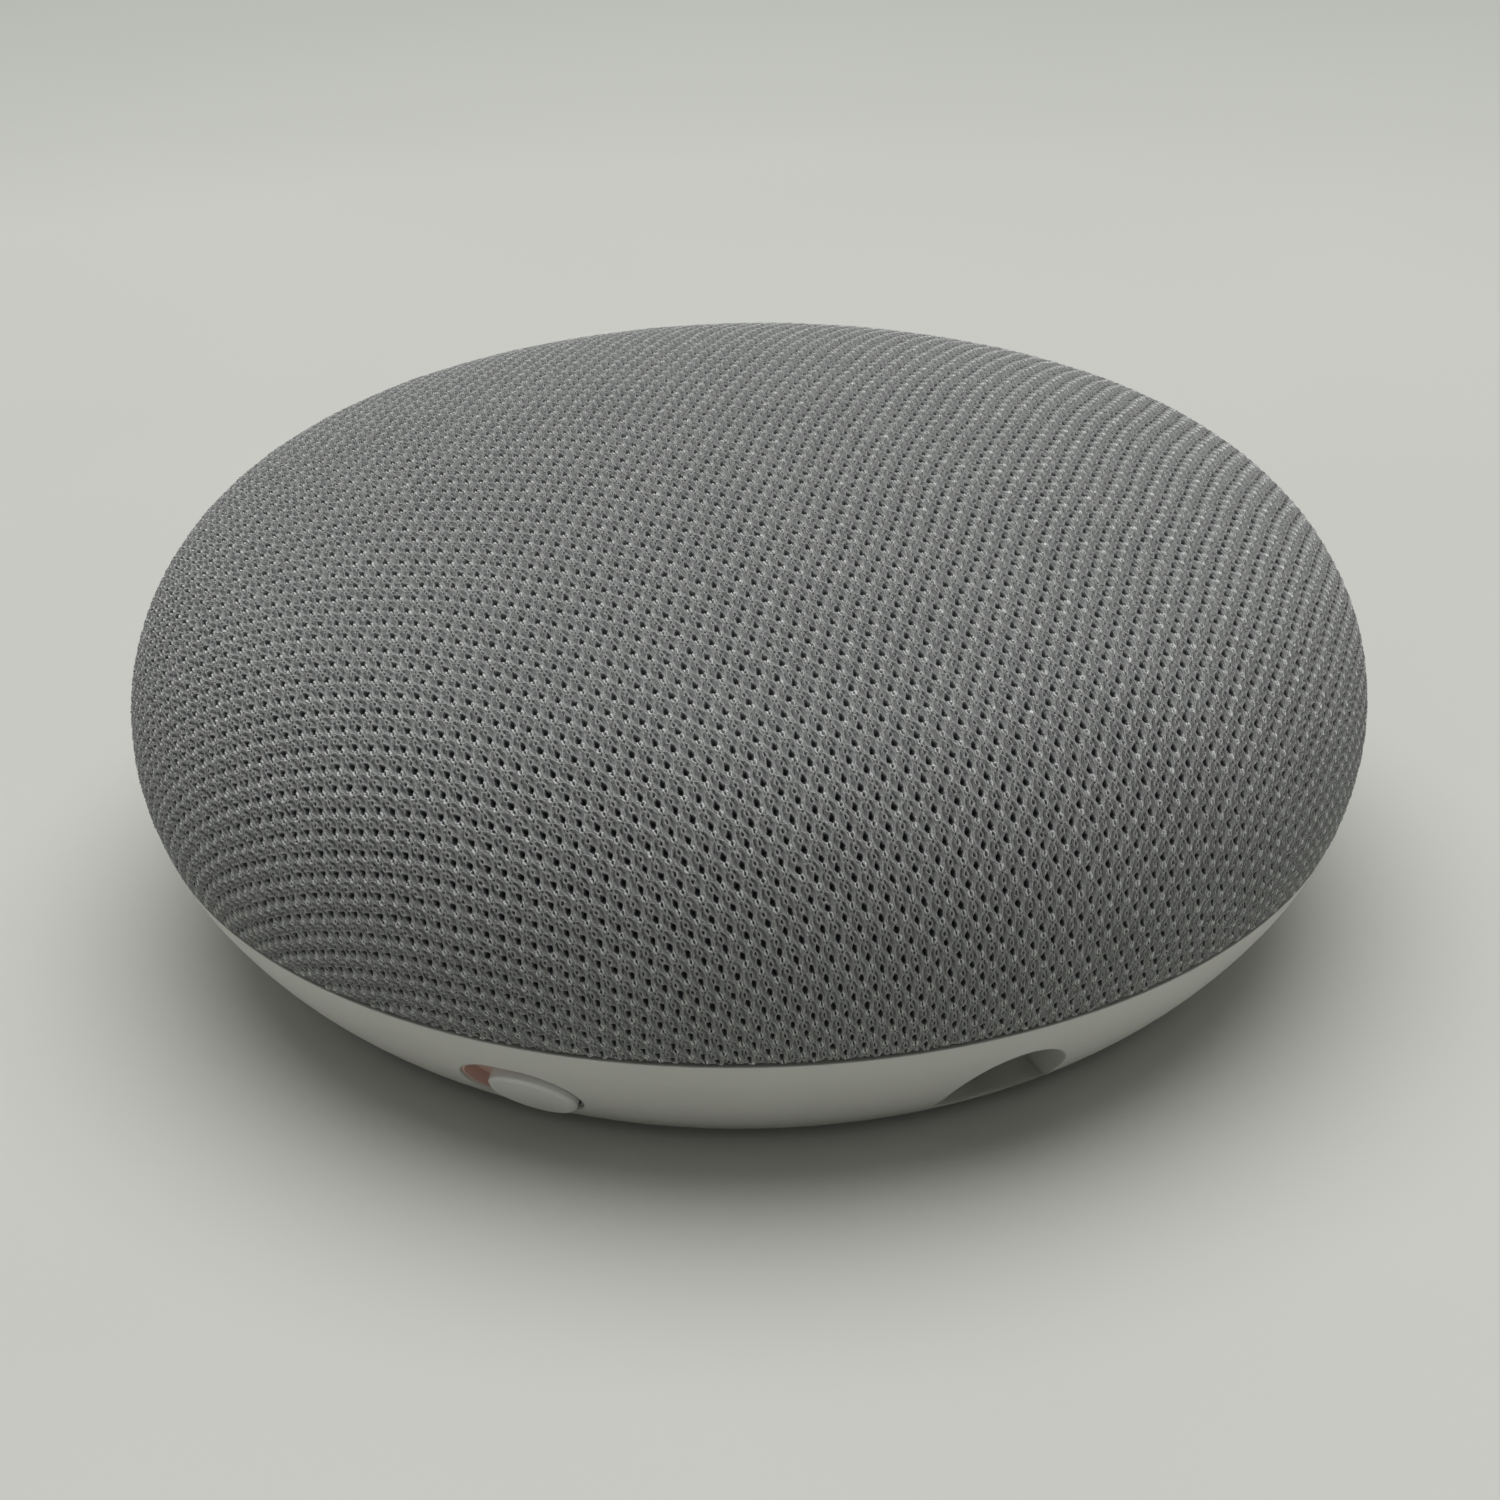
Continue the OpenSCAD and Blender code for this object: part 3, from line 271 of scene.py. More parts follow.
def meridian(s):
    """Radius, height and outward normal of the cloth's outside, at a distance from the crown along it."""
    heading = np.select(
        [s < CROWN_END, s < SHOULDER_END, s < WALL_END, s < FOLD_END],
        [s / crown_r, crown_angle + (s - CROWN_END) / SHOULDER_R,
         math.pi / 2 + (s - SHOULDER_END) / LOWER_R,
         math.pi / 2 + hem_drop + (s - WALL_END) / HEM_R], math.pi)
    up, out = np.cos(heading), np.sin(heading)
    fold_x = BODY_R - LOWER_R + (LOWER_R - HEM_R) * math.cos(hem_drop)
    fold_z = EQUATOR_Z - (LOWER_R - HEM_R) * math.sin(hem_drop)
    r = np.select(
        [s < CROWN_END, s < SHOULDER_END, s < WALL_END, s < FOLD_END],
        [crown_r * out, shoulder_x + SHOULDER_R * out, BODY_R - LOWER_R + LOWER_R * out,
         fold_x + HEM_R * out],
        fold_x - (s - FOLD_END))
    z = np.select(
        [s < CROWN_END, s < SHOULDER_END, s < WALL_END, s < FOLD_END],
        [crown_z + crown_r * up, EQUATOR_Z + SHOULDER_R * up, EQUATOR_Z + LOWER_R * up, fold_z + HEM_R * up],
        SEAM_Z)
    return r, z, out, up


# Yarn runs of one stitch, from the middle of its hole: across, along and how high the yarn's top lies.
# Each is mirrored to the other side of the column. LEG outlines the hole and the knot under it, OUTER the
# leaf above it, FILL and UNDER lie in the leaf, and BACK crosses behind the hole.
YARN_R = 0.125
LEG = [(0.27, 0.04, -0.14), (0.21, 0.18, -0.05), (0.12, 0.32, 0.02), (0.06, 0.46, 0.04), (0.13, 0.57, -0.02),
       (0.16, 0.68, -0.02), (0.14, 0.79, -0.02), (0.06, 0.94, -0.02), (0.08, 1.12, -0.02), (0.15, 1.24, -0.05),
       (0.07, 1.37, 0.0), (0.12, 1.50, 0.05), (0.16, 1.66, 0.07), (0.11, 1.82, 0.05), (0.20, 1.95, -0.02),
       (0.26, 2.06, -0.12), (0.28, 2.16, -0.15), (0.27, 2.28, -0.14)]
OUTER = [(0.16, 1.30, -0.06), (0.30, 1.17, -0.01), (0.46, 1.00, 0.0), (0.55, 0.75, -0.02), (0.58, 0.46, -0.05),
         (0.57, 0.22, -0.08), (0.54, 0.02, -0.14)]
FILL = [(0.40, 1.10, -0.10), (0.54, 0.84, -0.08), (0.60, 0.60, -0.09), (0.52, 0.10, -0.13)]
UNDER = [(0.24, 1.14, -0.22), (0.32, 0.86, -0.24), (0.35, 0.56, -0.25), (0.42, 0.30, -0.25)]
# A line in the leaf painted darker, as painted shade in its groove
GROOVE_SHADE = [(0.27, 1.16), (0.31, 0.95), (0.35, 0.75), (0.42, 0.56), (0.46, 0.44)]
BACK = [(0.0, -0.10, -0.45), (0.36, -0.10, -0.42)]
RUNS = [(LEG, YARN_R), (OUTER, YARN_R), (FILL, YARN_R * 1.4), (UNDER, YARN_R * 1.2),
        (BACK, YARN_R * 0.7)]
# Across a strand: where its painted shade at the edges begins, how far inside the legs a hole's painted shade
# begins, and the half width of a groove's painted shade
CORE = 0.02
GAP_SHADE_OPENS = (0.06, 0.12)
GROOVE_SHADE_R = 0.10
# How much of a strand the leaf counts as, how far the strands stray, and where along a stitch the knot's
# painted highlight lies
LEAF = 0.40
STRAND_DRIFT = 0.22
KNOT_HIGHLIGHT = ((0.0, 0.0), (0.60, 0.0), (0.67, 1.0), (0.80, 1.0), (0.86, 0.0), (1.0, 0.0))
# How softly runs of yarn meet, and the steps and shares that soften the relief
MEETING = 0.02
BLUR = ((-2, 0.1), (-1, 0.2), (0, 0.4), (1, 0.2), (2, 0.1))


def smooth_max(a, b, k):
    """The larger of a and b, rounded where they are within k."""
    blend = np.clip(0.5 + 0.5 * (a - b) / k, 0, 1)
    return b + (a - b) * blend + k * blend * (1 - blend)


def stitch_table():
    """Height of the cloth at the mesh's points over one cell of the lattice."""
    count_u, count_v = SAMPLES[0] * FINE, SAMPLES[1] * FINE
    u, v = np.meshgrid(np.arange(count_u) / count_u * CELL_U, np.arange(count_v) / count_v * CELL_V,
                       indexing="ij")
    height = np.full(u.shape, PIT)
    for points, radius in RUNS:
        for side in (1, -1):
            for (ax, ay, az), (bx, by, bz) in zip(points, points[1:]):
                ex, ey = side * (bx - ax), by - ay
                for shift_u, shift_v in ((0, 0), (CELL_U / 2, CELL_V / 2)):
                    du = (u - shift_u - side * ax + CELL_U / 2) % CELL_U - CELL_U / 2
                    dv = (v - shift_v - ay + CELL_V / 2) % CELL_V - CELL_V / 2
                    t = np.clip((du * ex + dv * ey) / (ex * ex + ey * ey), 0, 1)
                    away = np.hypot(du - t * ex, dv - t * ey)
                    round_top = np.sqrt(np.clip(radius ** 2 - away ** 2, 0, None)) - radius
                    top = np.where(away < radius, az + t * (bz - az) + round_top, PIT)
                    height = smooth_max(height, top, MEETING)
    for axis in (0, 1):
        height = sum(np.roll(height, shift, axis) * share for shift, share in BLUR)
    return height[::FINE, ::FINE]


def waves(u, v, seed, size, count=5):
    """Smooth random field between about -1 and 1, whose bumps are about size wide."""
    rng = np.random.default_rng(seed)
    total = np.zeros_like(u)
    for _ in range(count):
        heading = rng.uniform(0, 2 * math.pi)
        pace = 2 * math.pi / (size * rng.uniform(0.7, 1.6))
        total += np.sin(pace * (u * math.cos(heading) + v * math.sin(heading)) + rng.uniform(0, 2 * math.pi))
    return total / math.sqrt(count)


def mesh_from(name, points, faces):
    """A smooth mesh from arrays: faces is a list of arrays, one for each number of corners."""
    mesh = bpy.data.meshes.new(name)
    counts = np.concatenate([np.full(len(f), f.shape[1]) for f in faces])
    loops = np.concatenate([f.ravel() for f in faces]).astype(np.int32)
    mesh.vertices.add(len(points))
    mesh.vertices.foreach_set("co", (points * MM).astype(np.float32).ravel())
    mesh.loops.add(len(loops))
    mesh.loops.foreach_set("vertex_index", loops)
    mesh.polygons.add(len(counts))
    mesh.polygons.foreach_set("loop_start", np.concatenate([[0], np.cumsum(counts)[:-1]]).astype(np.int32))
    mesh.update(calc_edges=True)
    mesh.validate()
    mesh.polygons.foreach_set("use_smooth", np.ones(len(mesh.polygons), bool))
    piece = bpy.data.objects.new(name, mesh)
    bpy.context.scene.collection.objects.link(piece)
    return piece


def ring_strip(outer, inner, turn_outer, turn_inner):
    """Triangles between two closed rings of points, each sorted by the turn of its points."""
    n, m = len(outer), len(inner)
    i = j = 0
    made = []
    while i < n or j < m:
        next_outer = turn_outer[(i + 1) % n] + 2 * math.pi * ((i + 1) // n)
        next_inner = turn_inner[(j + 1) % m] + 2 * math.pi * ((j + 1) // m)
        if j >= m or (i < n and next_outer <= next_inner):
            made.append((inner[j % m], outer[(i + 1) % n], outer[i % n]))
            i += 1
        else:
            made.append((inner[j % m], inner[(j + 1) % m], outer[i % n]))
            j += 1
    return np.array(made)


def drawn(knit_u, knit_v):
    """Where points of the flat knit lie once it is drawn over the body, on a map that keeps distances from
    the crown."""
    u, v = WIDEN[0] * knit_u, WIDEN[1] * knit_v
    for seed, (amount, size) in enumerate(STRAY, 1):
        u = u + amount * waves(knit_u, knit_v, seed, size)
    for seed, (amount, size) in enumerate(STRAY, 3):
        v = v + amount * waves(knit_u, knit_v, seed, size)
    far = np.hypot(u, v)
    share = CROWN_SHARE * np.where(far > 1e-6, np.expm1(SPREAD * far) / np.maximum(SPREAD * far, 1e-9), 1.0)
    return u * share, v * share


def lining_rings():
    """Radius and height of the rings of the cloth's inside, from the crown down and in to its edge."""
    down = np.linspace(0.0, WALL_END - HEM_THIN[0], WALL_RINGS)[1:]
    r, z, out, up = meridian(np.concatenate([down, WALL_END - np.array(TURN_RINGS)]))
    ring_r, ring_z = r + LINING * out, z + LINING * up
    edge_r = meridian(np.array([CUT_R]))[0][0]
    lip_r = np.linspace(ring_r[-1] - LIP_GAP, edge_r, LIP_RINGS)
    return np.concatenate([ring_r, lip_r]), np.concatenate([ring_z, np.full(LIP_RINGS, SEAM_Z - LINING)])


def fabric():
    """The cloth: a knitted outside with a hole in each stitch, a smooth inside, and the hem turned in."""
    reach_u, reach_v = int(KNIT_R / CELL_U / WIDEN[0]) + 2, int(KNIT_R / CELL_V / WIDEN[1]) + 2
    i, j = np.meshgrid(np.arange(-reach_u * SAMPLES[0], reach_u * SAMPLES[0] + 1),
                       np.arange(-reach_v * SAMPLES[1], reach_v * SAMPLES[1] + 1), indexing="ij")
    knit_u, knit_v = i * CELL_U / SAMPLES[0], j * CELL_V / SAMPLES[1]
    u, v = drawn(knit_u, knit_v)
    relief = stitch_table()[i % SAMPLES[0], j % SAMPLES[1]]
    relief += sum(amount * waves(u, v, seed, size, count)
                  for seed, (amount, size, count) in enumerate(UNEVEN, 5))

    # Keep the grid's squares that reach inside the cut edge, and pull their outer corners in to it.
    far = np.hypot(u, v)
    inside = far < CUT_R
    kept = inside[:-1, :-1] | inside[1:, :-1] | inside[1:, 1:] | inside[:-1, 1:]
    index = np.arange(u.size).reshape(u.shape)
    quads = np.stack([index[:-1, :-1], index[1:, :-1], index[1:, 1:], index[:-1, 1:]], -1)[kept]
    used, quads = np.unique(quads, return_inverse=True)
    quads = quads.reshape(-1, 4)
    u, v, far, inside, relief, knit_u, knit_v = (
        grid.ravel()[used] for grid in (u, v, far, inside, relief, knit_u, knit_v))
    pull = np.where(inside, 1.0, CUT_R / np.maximum(far, 1e-9))
    u, v, s = u * pull, v * pull, np.minimum(far, CUT_R)

    # Lay the map over the body. The holes end in a thin hem, and the relief fades where it is turned in.
    lift = np.maximum(relief, np.interp(s, [WALL_END - HEM_THIN[0], WALL_END - HEM_THIN[1]], [PIT, HEM_PIT]))
    lift *= np.interp(s, [FOLD_END, FOLD_END + HEM_FADE], [1, HEM_LEFT])
    r, z, out, up = meridian(s)
    spread = np.where(s > 1e-6, (r + lift * out) / np.maximum(s, 1e-6), 1.0)
    outside = np.stack([u * spread, v * spread, z + lift * up], -1)

    # The inside, closed at the crown and joined to the outside along the cut edge
    turn = -math.pi + (np.arange(SPOKES) + 0.5) * 2 * math.pi / SPOKES
    ring_r, ring_z = lining_rings()
    lining = np.stack([ring_r[:, None] * np.cos(turn), ring_r[:, None] * np.sin(turn),
                       np.repeat(ring_z[:, None], SPOKES, 1)], -1).reshape(-1, 3)
    base = len(outside)
    points = np.concatenate([outside, lining, [[0, 0, BODY_H + LINING]]])
    rings = base + np.arange(len(lining)).reshape(-1, SPOKES)
    following = np.roll(rings, -1, 1)
    walls = np.stack([following[:-1], following[1:], rings[1:], rings[:-1]], -1).reshape(-1, 4)
    cap = np.stack([np.full(SPOKES, len(points) - 1), following[0], rings[0]], -1)
    rim = np.nonzero(~inside)[0]
    rim_turn = np.arctan2(v[rim], u[rim])
    order = np.argsort(rim_turn)
    strip = ring_strip(rim[order], rings[-1], rim_turn[order], turn)
    piece = mesh_from("knit_cover", points, [quads, walls, cap, strip])

    # What the material reads: how high the cloth lies, which it turns into painted shade (the inside, at 0,
    # gets the darkest), and where in the knit a point lies; and a map for baking: the outside flat, the inside
    # as a small disc in a corner
    mesh = piece.data
    depth_shade, knit, place = np.zeros(len(points)), np.zeros((len(points), 2)), np.zeros((len(points), 2))
    depth_shade[:base] = np.clip((relief - PIT) / -PIT, 0, 1)
    knit[:base] = np.stack([knit_u, knit_v], -1)
    place[:base] = np.stack([u, v], -1) / (2 * CUT_R) * MAP_SHARE + 0.5
    level = np.concatenate([np.repeat(np.arange(1, len(ring_r) + 1), SPOKES), [0]]) / (len(ring_r) + 1)
    inner_turn = np.arctan2(points[base:, 1], points[base:, 0])
    place[base:, 0] = MAP_CORNER[0] + MAP_CORNER[1] * level * np.cos(inner_turn)
    place[base:, 1] = MAP_CORNER[0] + MAP_CORNER[1] * level * np.sin(inner_turn)
    mesh.attributes.new("depth_shade", "FLOAT", "POINT").data.foreach_set("value", depth_shade.astype(np.float32))
    mesh.attributes.new("knit", "FLOAT2", "POINT").data.foreach_set("vector", knit.astype(np.float32).ravel())
    corner = np.zeros(len(mesh.loops), np.int32)
    mesh.loops.foreach_get("vertex_index", corner)
    mesh.uv_layers.new(name="OFBake").data.foreach_set("uv", place[corner].astype(np.float32).ravel())
    return piece


def strands(m, place):
    """What lies at a place in the knit: how much of a strand, how much painted shade for the open gaps and
    grooves, and how much painted highlight for the knot under a hole.
    """
    stray = m.add("ShaderNodeTexNoise", noise_dimensions="2D")
    m.link(place, stray.inputs["Vector"])
    stray.inputs["Scale"].default_value = 2.6
    drift = m.scaled(m.vector("SUBTRACT", stray.outputs["Color"], (0.5, 0.5, 0.5)), STRAND_DRIFT)
    split = m.add("ShaderNodeSeparateXYZ")
    m.link(m.vector("ADD", place, drift), split.inputs[0])
    even = m.math("PINGPONG", split.outputs[0], CELL_U / 2)
    odd = m.math("SUBTRACT", CELL_U / 2, even)
    patch = m.span(stray.outputs[0], 0.42, 0.56)
    strand, gap_shade, knot_highlight = [LEAF], [], []
    # Rows are counted from 100 before the middle, so that none is negative.
    for across, shift in ((even, 0.0), (odd, 0.5)):
        phase = m.math("FRACT", m.math("MULTIPLY_ADD", split.outputs[1], 1 / CELL_V, 100 + shift))

        def beside(points):
            """How far inside a line of the stitch the place lies, on its own half of the column."""
            line = [(q[1] / CELL_V, q[0]) for q in points if 0 <= q[1] <= CELL_V]
            return m.math("SUBTRACT", m.curve(phase, line), across)

        def only(points, value):
            """The value, let through only between the ends of a line of the stitch."""
            first, last = points[-1][1] / CELL_V, points[0][1] / CELL_V
            window = m.curve(phase, [(0.0, 0.0), (first, 0.0), (first + 0.03, 1.0), (last - 0.03, 1.0),
                                     (last, 0.0), (1.0, 0.0)])
            return m.math("MULTIPLY", window, value)

        past = beside(LEG)
        leg = m.span(m.math("ABSOLUTE", past), CORE, YARN_R, 1.0, 0.0)
        strand += [leg, only(OUTER, m.span(m.math("ABSOLUTE", beside(OUTER)), CORE, YARN_R, 0.8, 0.0))]
        # Painted shade along the leaf's groove, in random patches
        streak = only(GROOVE_SHADE, m.span(m.math("ABSOLUTE", beside(GROOVE_SHADE)), CORE, GROOVE_SHADE_R, 0.95, 0.0))
        gap_shade += [m.span(past, *GAP_SHADE_OPENS), m.math("MULTIPLY", streak, patch)]
        # Painted highlight's share, on the leg where the knot lies
        knot_highlight.append(m.math("MULTIPLY", leg, m.curve(phase, KNOT_HIGHLIGHT)))

    def most(values):
        total = values[0]
        for value in values[1:]:
            total = m.math("MAXIMUM", total, value)
        return total

    return most(strand), most(gap_shade), most(knot_highlight)


def knit_material():
    """Light grey marled yarn with a little fuzz, with painted shade between its strands, in its holes, in the
    leaf's grooves and the deeper it lies, and a painted highlight on the knot under each hole.
    """
    m = Nodes("knit_cloth")
    depth_shade = m.add("ShaderNodeAttribute", attribute_name="depth_shade").outputs["Fac"]
    place = m.add("ShaderNodeAttribute", attribute_name="knit").outputs["Vector"]
    strand, gap_shade, knot_highlight = strands(m, place)
    marl = m.noise(m.vector("MULTIPLY", place, (4.2, 1.5, 1.0)), 1.0, 5.0, 0.65)
    fibre = m.noise(m.vector("MULTIPLY", place, (13.0, 3.6, 1.0)), 1.0, 4.0, 0.7)
    broad = m.noise(place, 0.09, 2.0)
    yarn = m.mix(m.span(marl, 0.3, 0.7), from_srgb(122, 124, 122), from_srgb(196, 198, 195))
    yarn = m.mix(m.span(fibre, 0.36, 0.68, 0.0, 0.65), yarn, from_srgb(216, 218, 215))
    yarn = m.mix(m.span(broad, 0.3, 0.7, 0.0, 0.12), yarn, from_srgb(112, 114, 114))
    # Painted shade between the strands, where little yarn lies
    yarn = m.mix(m.span(strand, 0.0, 0.8), from_srgb(66, 68, 70), yarn)
    # Painted highlight on the knot under each hole
    yarn = m.mix(m.math("MULTIPLY", knot_highlight, 0.9), yarn, from_srgb(244, 246, 243))
    # Painted shade in the holes and along the leaf's grooves
    yarn = m.mix(m.math("MULTIPLY", gap_shade, 0.9), yarn, from_srgb(44, 45, 50))
    # Painted shade: darker the deeper the cloth lies, down to the colour at the bottom of the pits
    depth = m.span(depth_shade, 0.30, 0.80)
    m.set(Base_Color=m.mix(depth, from_srgb(46, 47, 53), yarn), Roughness=0.92, Sheen_Weight=0.25,
          Sheen_Roughness=0.5, Specular_IOR_Level=0.2)
    fuzz = m.math("ADD", m.math("MULTIPLY", marl, 0.3), fibre)
    m.bump(m.math("MULTIPLY_ADD", strand, 2.5, fuzz), 0.0001)
    return m.material


# ---- Materials of the frame's own pieces ----

# How much darker plastic's mottling gets
MOTTLE = 0.05


def plastic(name, colour, rough, grain=0.00001, grain_size=2600, edge=0.0):
    """Moulded plastic: a fine grain, faint mottling and a gloss that varies a little."""
    m = Nodes(name)
    at = m.where()
    mottle = m.noise(at, 60, 4.0)
    speck = m.noise(at, grain_size, 2.0, 0.6)
    m.set(Base_Color=m.mix(m.span(mottle, 0.3, 0.7),
                           shade(colour, 1 - MOTTLE), shade(colour, 1 + MOTTLE / 3)),
          Roughness=m.span(m.noise(at, 140, 3.0), 0.3, 0.7, rough - 0.05, rough + 0.06))
    m.bump(speck, grain, edge=edge)
    return m.material


def metal(name, colour, rough=0.3, brushed=(1, 1, 30)):
    """Bare metal with fine streaks, closest along the axis whose number in brushed is the largest."""
    m = Nodes(name)
    at = m.vector("MULTIPLY", m.where(), brushed)
    streak = m.noise(at, 900, 4.0, 0.6)
    m.set(Base_Color=m.mix(m.span(m.noise(m.where(), 90, 3.0), 0.3, 0.7), shade(colour, 0.85), colour),
          Metallic=1.0, Roughness=m.span(streak, 0.3, 0.7, rough - 0.08, rough + 0.12))
    m.bump(streak, 0.00001, 0.6)
    return m.material


def board(name, colour, trace):
    """Solder mask over copper: traces on a fine grid of rows and columns, and a soft gloss."""
    m = Nodes(name)
    at = m.where()
    grid = m.add("ShaderNodeTexBrick", offset=0.5, squash=1.0)
    m.link(at, grid.inputs["Vector"])
    for key, value in (("Scale", 1.0), ("Mortar Size", 0.00018), ("Brick Width", 0.0042),
                       ("Row Height", 0.0011)):
        grid.inputs[key].default_value = value
    warp = m.noise(at, 240, 2.0)
    lines = m.math("MULTIPLY", grid.outputs["Fac"], m.span(warp, 0.42, 0.5))
    via = m.span(m.cells(at, 420), 0.08, 0.12, 1.0, 0.0)
    copper = m.math("MAXIMUM", lines, m.math("MULTIPLY", via, 0.8))
    m.set(Base_Color=m.mix(copper, colour, trace), Roughness=0.32, Coat_Weight=0.3, Coat_Roughness=0.15)
    m.bump(copper, 0.00003, 0.6)
    return m.material


def woven(name, a, b, scale, rough=0.85):
    """Fibres: paper pulp, cloth or felt."""
    m = Nodes(name)
    at = m.where()
    fibre = m.noise(m.vector("MULTIPLY", at, (1.0, 3.0, 1.0)), scale, 6.0, 0.7)
    m.set(Base_Color=m.mix(m.span(fibre, 0.3, 0.7), a, b), Roughness=rough, Specular_IOR_Level=0.25)
    m.bump(fibre, 0.00006)
    return m.material


def rubber(name, colour, rough):
    """Soft rubber with a little dust on it."""
    m = Nodes(name)
    at = m.where()
    dust = m.noise(at, 700, 5.0, 0.65)
    m.set(Base_Color=m.mix(m.span(dust, 0.35, 0.75), colour, shade(colour, 1.5)),
          Roughness=m.span(dust, 0.2, 0.8, rough - 0.08, rough + 0.1))
    m.bump(m.noise(at, 1900, 2.0), 0.000015)
    return m.material


def clear(name, colour):
    """Clear moulded plastic."""
    m = Nodes(name)
    at = m.where()
    m.set(Base_Color=m.mix(m.span(m.noise(at, 120, 3.0), 0.3, 0.7), colour, shade(colour, 0.94)),
          Roughness=0.18, Transmission_Weight=0.7, IOR=1.49)
    m.bump(m.noise(at, 1500, 2.0), 0.000006)
    return m.material


def winding(name, colour):
    """Turns of fine wire, one above the other."""
    m = Nodes(name)
    at = m.where()
    turns = m.add("ShaderNodeTexWave", wave_type="BANDS", bands_direction="Z")
    m.link(at, turns.inputs["Vector"])
    turns.inputs["Scale"].default_value = 1700
    turns.inputs["Distortion"].default_value = 0.2
    m.set(Base_Color=m.mix(turns.outputs["Fac"], shade(colour, 0.45), colour), Metallic=0.8, Roughness=0.35)
    m.bump(turns.outputs["Fac"], 0.00005)
    return m.material


def coral_plate_and_shade():
    """The plate under the switch: coral where muting lays it bare, and painted grey at the other end as
    painted shade under the switch.
    """
    low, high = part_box("mute_track_plate")
    m = Nodes("switch_coral_and_shade")
    at = m.where()
    along = m.add("ShaderNodeSeparateXYZ")
    m.link(at, along.inputs[0])
    width = high[0] - low[0]
    # Painted shade: the plate turns grey from about halfway along, under the switch
    edge = m.span(along.outputs[0], low[0] + 0.42 * width, low[0] + 0.47 * width)
    coral = m.mix(m.noise(at, 60, 4.0), from_srgb(206, 171, 159), from_srgb(214, 180, 168))
    m.set(Base_Color=m.mix(edge, coral, from_srgb(150, 150, 146)), Roughness=0.5)
    m.bump(m.noise(at, 2600, 2.0, 0.6), 0.00001)
    return m.material


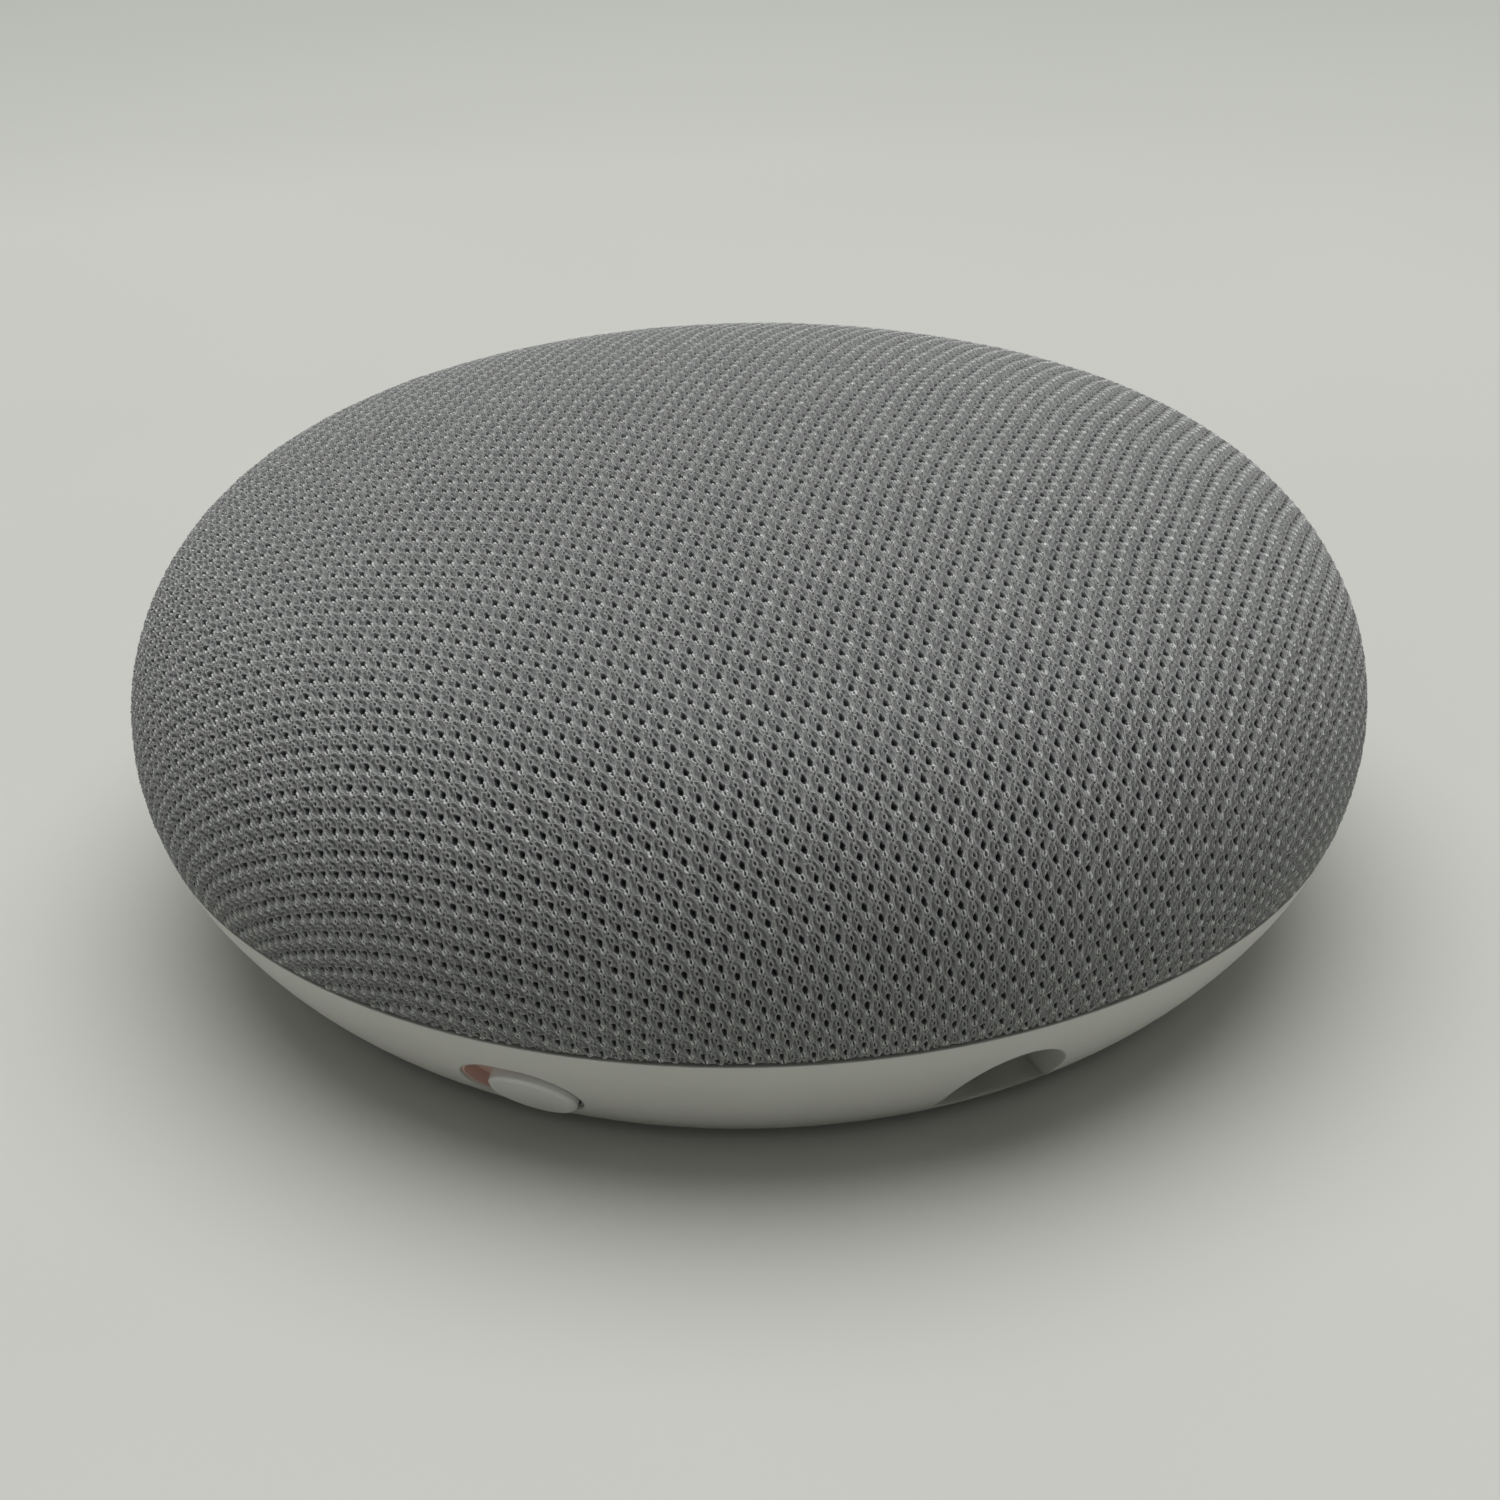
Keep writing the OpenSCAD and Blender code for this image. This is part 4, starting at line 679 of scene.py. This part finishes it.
WHITE = from_srgb(200, 200, 193)
STEEL = (0.60, 0.61, 0.62, 1)
BRASS = (0.78, 0.60, 0.30, 1)
finishes = {
    "bottom_shell": plastic("moulded_white", WHITE, 0.42, edge=0.0003),
    "mute_slider": plastic("switch_white", from_srgb(210, 210, 205), 0.38, edge=0.0002),
    "mute_track_plate": coral_plate_and_shade(),
    "top_shell": plastic("dome_pale", from_srgb(204, 206, 204), 0.6),
    "base_pad": rubber("pad_silicone", from_srgb(150, 152, 151), 0.7),
    "pad_adhesive": woven("adhesive_film", from_srgb(196, 190, 168), from_srgb(214, 209, 190), 400, 0.6),
    "case_screws": metal("screw_black", (0.10, 0.10, 0.11, 1), 0.35),
    "switch_body": metal("switch_shell", (0.42, 0.43, 0.45, 1), 0.35),
    "switch_lever": plastic("lever_black", from_srgb(30, 31, 33), 0.5),
    "power_jack_body": plastic("jack_black", from_srgb(34, 35, 38), 0.4),
    "power_jack_pin": metal("jack_pin", STEEL, 0.25),
    "main_board": board("main_mask", (0.012, 0.075, 0.045, 1), (0.05, 0.20, 0.11, 1)),
    "board_screws": metal("board_screw", STEEL, 0.3),
    "processor": plastic("chip_resin", from_srgb(38, 38, 40), 0.55, 0.00002, 5200),
    "processor_shield": metal("shield_tin", (0.70, 0.71, 0.70, 1), 0.32),
    "radio_chip": plastic("radio_resin", from_srgb(36, 36, 38), 0.55, 0.00002, 5200),
    "radio_shield": metal("radio_tin", (0.70, 0.71, 0.70, 1), 0.32),
    "thermal_pad": rubber("thermal_grey", from_srgb(122, 142, 160), 0.8),
    "heat_spreader": metal("spreader_aluminium", (0.80, 0.81, 0.82, 1), 0.38, (1, 20, 1)),
    "power_choke": plastic("choke_ferrite", from_srgb(84, 78, 72), 0.7, 0.00004, 3000),
    "power_capacitors": metal("capacitor_can", (0.72, 0.73, 0.74, 1), 0.25),
    "board_connectors": plastic("connector_cream", from_srgb(226, 219, 198), 0.4),
    "wifi_antennas": metal("antenna_brass", BRASS, 0.35),
    "speaker_tub": plastic("box_grey", from_srgb(62, 64, 66), 0.6, 0.00003, 1500),
    "speaker_lid": plastic("lid_grey", from_srgb(68, 70, 72), 0.6, 0.00003, 1500),
    "driver_gasket": woven("gasket_foam", from_srgb(26, 26, 28), from_srgb(40, 40, 42), 1600, 0.95),
    "driver_basket": metal("basket_steel", (0.36, 0.37, 0.38, 1), 0.45),
    "driver_yoke": metal("yoke_steel", (0.44, 0.44, 0.45, 1), 0.4),
    "driver_magnet": metal("magnet_nickel", (0.52, 0.52, 0.50, 1), 0.3),
    "driver_pole_plate": metal("pole_steel", STEEL, 0.35),
    "voice_coil": winding("coil_copper", (0.70, 0.33, 0.14, 1)),
    "speaker_cone": woven("cone_pulp", from_srgb(28, 29, 31), from_srgb(52, 53, 55), 1100),
    "dust_cap": woven("cap_pulp", from_srgb(34, 35, 37), from_srgb(50, 51, 53), 1300, 0.7),
    "surround": rubber("surround_rubber", from_srgb(24, 25, 26), 0.6),
    "spider": woven("spider_cloth", from_srgb(168, 128, 58), from_srgb(206, 166, 92), 1500),
    "driver_terminals": metal("terminal_tin", (0.72, 0.70, 0.62, 1), 0.35),
    "driver_screws": metal("driver_screw", STEEL, 0.3),
    "speaker_wires": rubber("wire_red", from_srgb(176, 52, 44), 0.5),
    "ribbon_cable": plastic("ribbon_film", from_srgb(214, 210, 196), 0.35, 0.00003, 500),
    "top_board": board("top_mask", (0.02, 0.05, 0.12, 1), (0.08, 0.16, 0.30, 1)),
    "top_board_screws": metal("top_screw", STEEL, 0.3),
    "status_leds": plastic("led_resin", from_srgb(240, 236, 214), 0.25),
    "light_guide": clear("guide_acrylic", from_srgb(226, 236, 240)),
    "microphones": metal("microphone_can", (0.80, 0.66, 0.38, 1), 0.3),
    "mic_gaskets": rubber("gasket_rubber", from_srgb(28, 28, 30), 0.8),
    "touch_pads": metal("touch_copper", (0.80, 0.45, 0.26, 1), 0.35),
    "touch_contacts": metal("contact_gold", (0.90, 0.68, 0.30, 1), 0.25),
    "ribbon_connector": plastic("socket_cream", from_srgb(228, 221, 200), 0.4),
}
for name, material in finishes.items():
    for i in range(len(nodes[name].data.materials)):
        nodes[name].data.materials[i] = material


# ---- The cloth and the rings that hold the cone, cut into sectors, in place of the frame's own ----

def flexing(name, sectors=8):
    """A ring that holds the cone, cut into sectors, each a piece of its own, and the whole ring hidden."""
    source = nodes[name]
    for k in range(sectors):
        middle = 2 * math.pi * (k + 0.5) / sectors
        cut = bmesh.new()
        cut.from_mesh(source.data)
        for side in (-1, 1):
            edge = middle + side * math.pi / sectors
            bmesh.ops.bisect_plane(cut, geom=cut.verts[:] + cut.edges[:] + cut.faces[:], clear_outer=True,
                                   plane_co=(0, 0, 0),
                                   plane_no=(-side * math.sin(edge), side * math.cos(edge), 0))
        mesh = bpy.data.meshes.new(f"{name}_{k + 1}")
        cut.to_mesh(mesh)
        cut.free()
        mesh.materials.append(finishes[name])
        piece = bpy.data.objects.new(f"{name}_{k + 1}", mesh)
        bpy.context.scene.collection.objects.link(piece)
        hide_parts(name)
        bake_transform(piece)


cover = fabric()
cover.data.materials.append(knit_material())
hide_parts("fabric_cover")
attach(cover, "housing")
flexing("spider")
flexing("surround")


# ---- Floor, lamp and world ----

BACKDROP = from_srgb(178, 180, 175)
# Metres from the middle between which the floor turns into the backdrop
FLOOR_FADES = (0.19, 0.34)
FLOOR_HALF = 3.0


def seen(tree):
    """1 for rays that show the background: the camera's own, and those mirrored or let through."""
    path = tree.nodes.new("ShaderNodeLightPath")
    total = path.outputs["Is Camera Ray"]
    for name in ("Is Glossy Ray", "Is Transmission Ray"):
        either = tree.nodes.new("ShaderNodeMath")
        either.operation = "MAXIMUM"
        tree.links.new(total, either.inputs[0])
        tree.links.new(path.outputs[name], either.inputs[1])
        total = either.outputs[0]
    return total


def blend_in(tree, share, lit, glow, out):
    """Mix a lit shader with one that glows by itself."""
    mixer = tree.nodes.new("ShaderNodeMixShader")
    tree.links.new(share, mixer.inputs[0])
    tree.links.new(lit.outputs[0], mixer.inputs[1])
    tree.links.new(glow.outputs[0], mixer.inputs[2])
    tree.links.new(mixer.outputs[0], out.inputs[0])


def floor():
    """A pale floor that takes light and shadow near the object, and has the backdrop's colour further out."""
    half = FLOOR_HALF
    mesh = bpy.data.meshes.new("floor")
    corners = [(-half, -half, 0), (half, -half, 0), (half, half, 0), (-half, half, 0)]
    mesh.from_pydata(corners, [], [(0, 1, 2, 3)])
    ground = bpy.data.objects.new("floor", mesh)
    bpy.context.scene.collection.objects.link(ground)
    m = Nodes("floor_pale")
    at = m.where()
    patches = m.span(m.noise(at, 9, 3.0), 0.35, 0.65)
    m.set(Base_Color=m.mix(patches, from_srgb(198, 199, 193), from_srgb(201, 202, 196)),
          Roughness=0.55, Specular_IOR_Level=0.3)
    away = m.add("ShaderNodeVectorMath", operation="LENGTH")
    m.link(at, away.inputs[0])
    glow = m.add("ShaderNodeEmission")
    glow.inputs["Color"].default_value = BACKDROP
    share = m.math("MULTIPLY", seen(m.tree), m.span(away.outputs["Value"], *FLOOR_FADES))
    blend_in(m.tree, share, m.shader, glow, m.out)
    ground.data.materials.append(m.material)


def lamp(name, at, size, power):
    """A round soft lamp that faces the object."""
    data = bpy.data.lights.new(name, "AREA")
    data.shape = "DISK"
    data.size = size
    data.energy = power
    light = bpy.data.objects.new(name, data)
    bpy.context.scene.collection.objects.link(light)
    light.location = at
    light.rotation_mode = "QUATERNION"
    light.rotation_quaternion = (Vector((0, 0, 0.02)) - Vector(at)).to_track_quat("-Z", "Y")


floor()
lamp("overhead", (0.06, 0.13, 1.1), 1.35, 12.6)
world = bpy.data.worlds.new("World")
bpy.context.scene.world = world
world.use_nodes = True
background = world.node_tree.nodes["Background"]
background.inputs["Color"].default_value = (1.0, 1.0, 1.0, 1)
background.inputs["Strength"].default_value = 0.25
backdrop = world.node_tree.nodes.new("ShaderNodeBackground")
backdrop.inputs["Color"].default_value = BACKDROP
blend_in(world.node_tree, seen(world.node_tree), background, backdrop, world.node_tree.nodes["World Output"])
bpy.context.scene.view_settings.view_transform = "Standard"
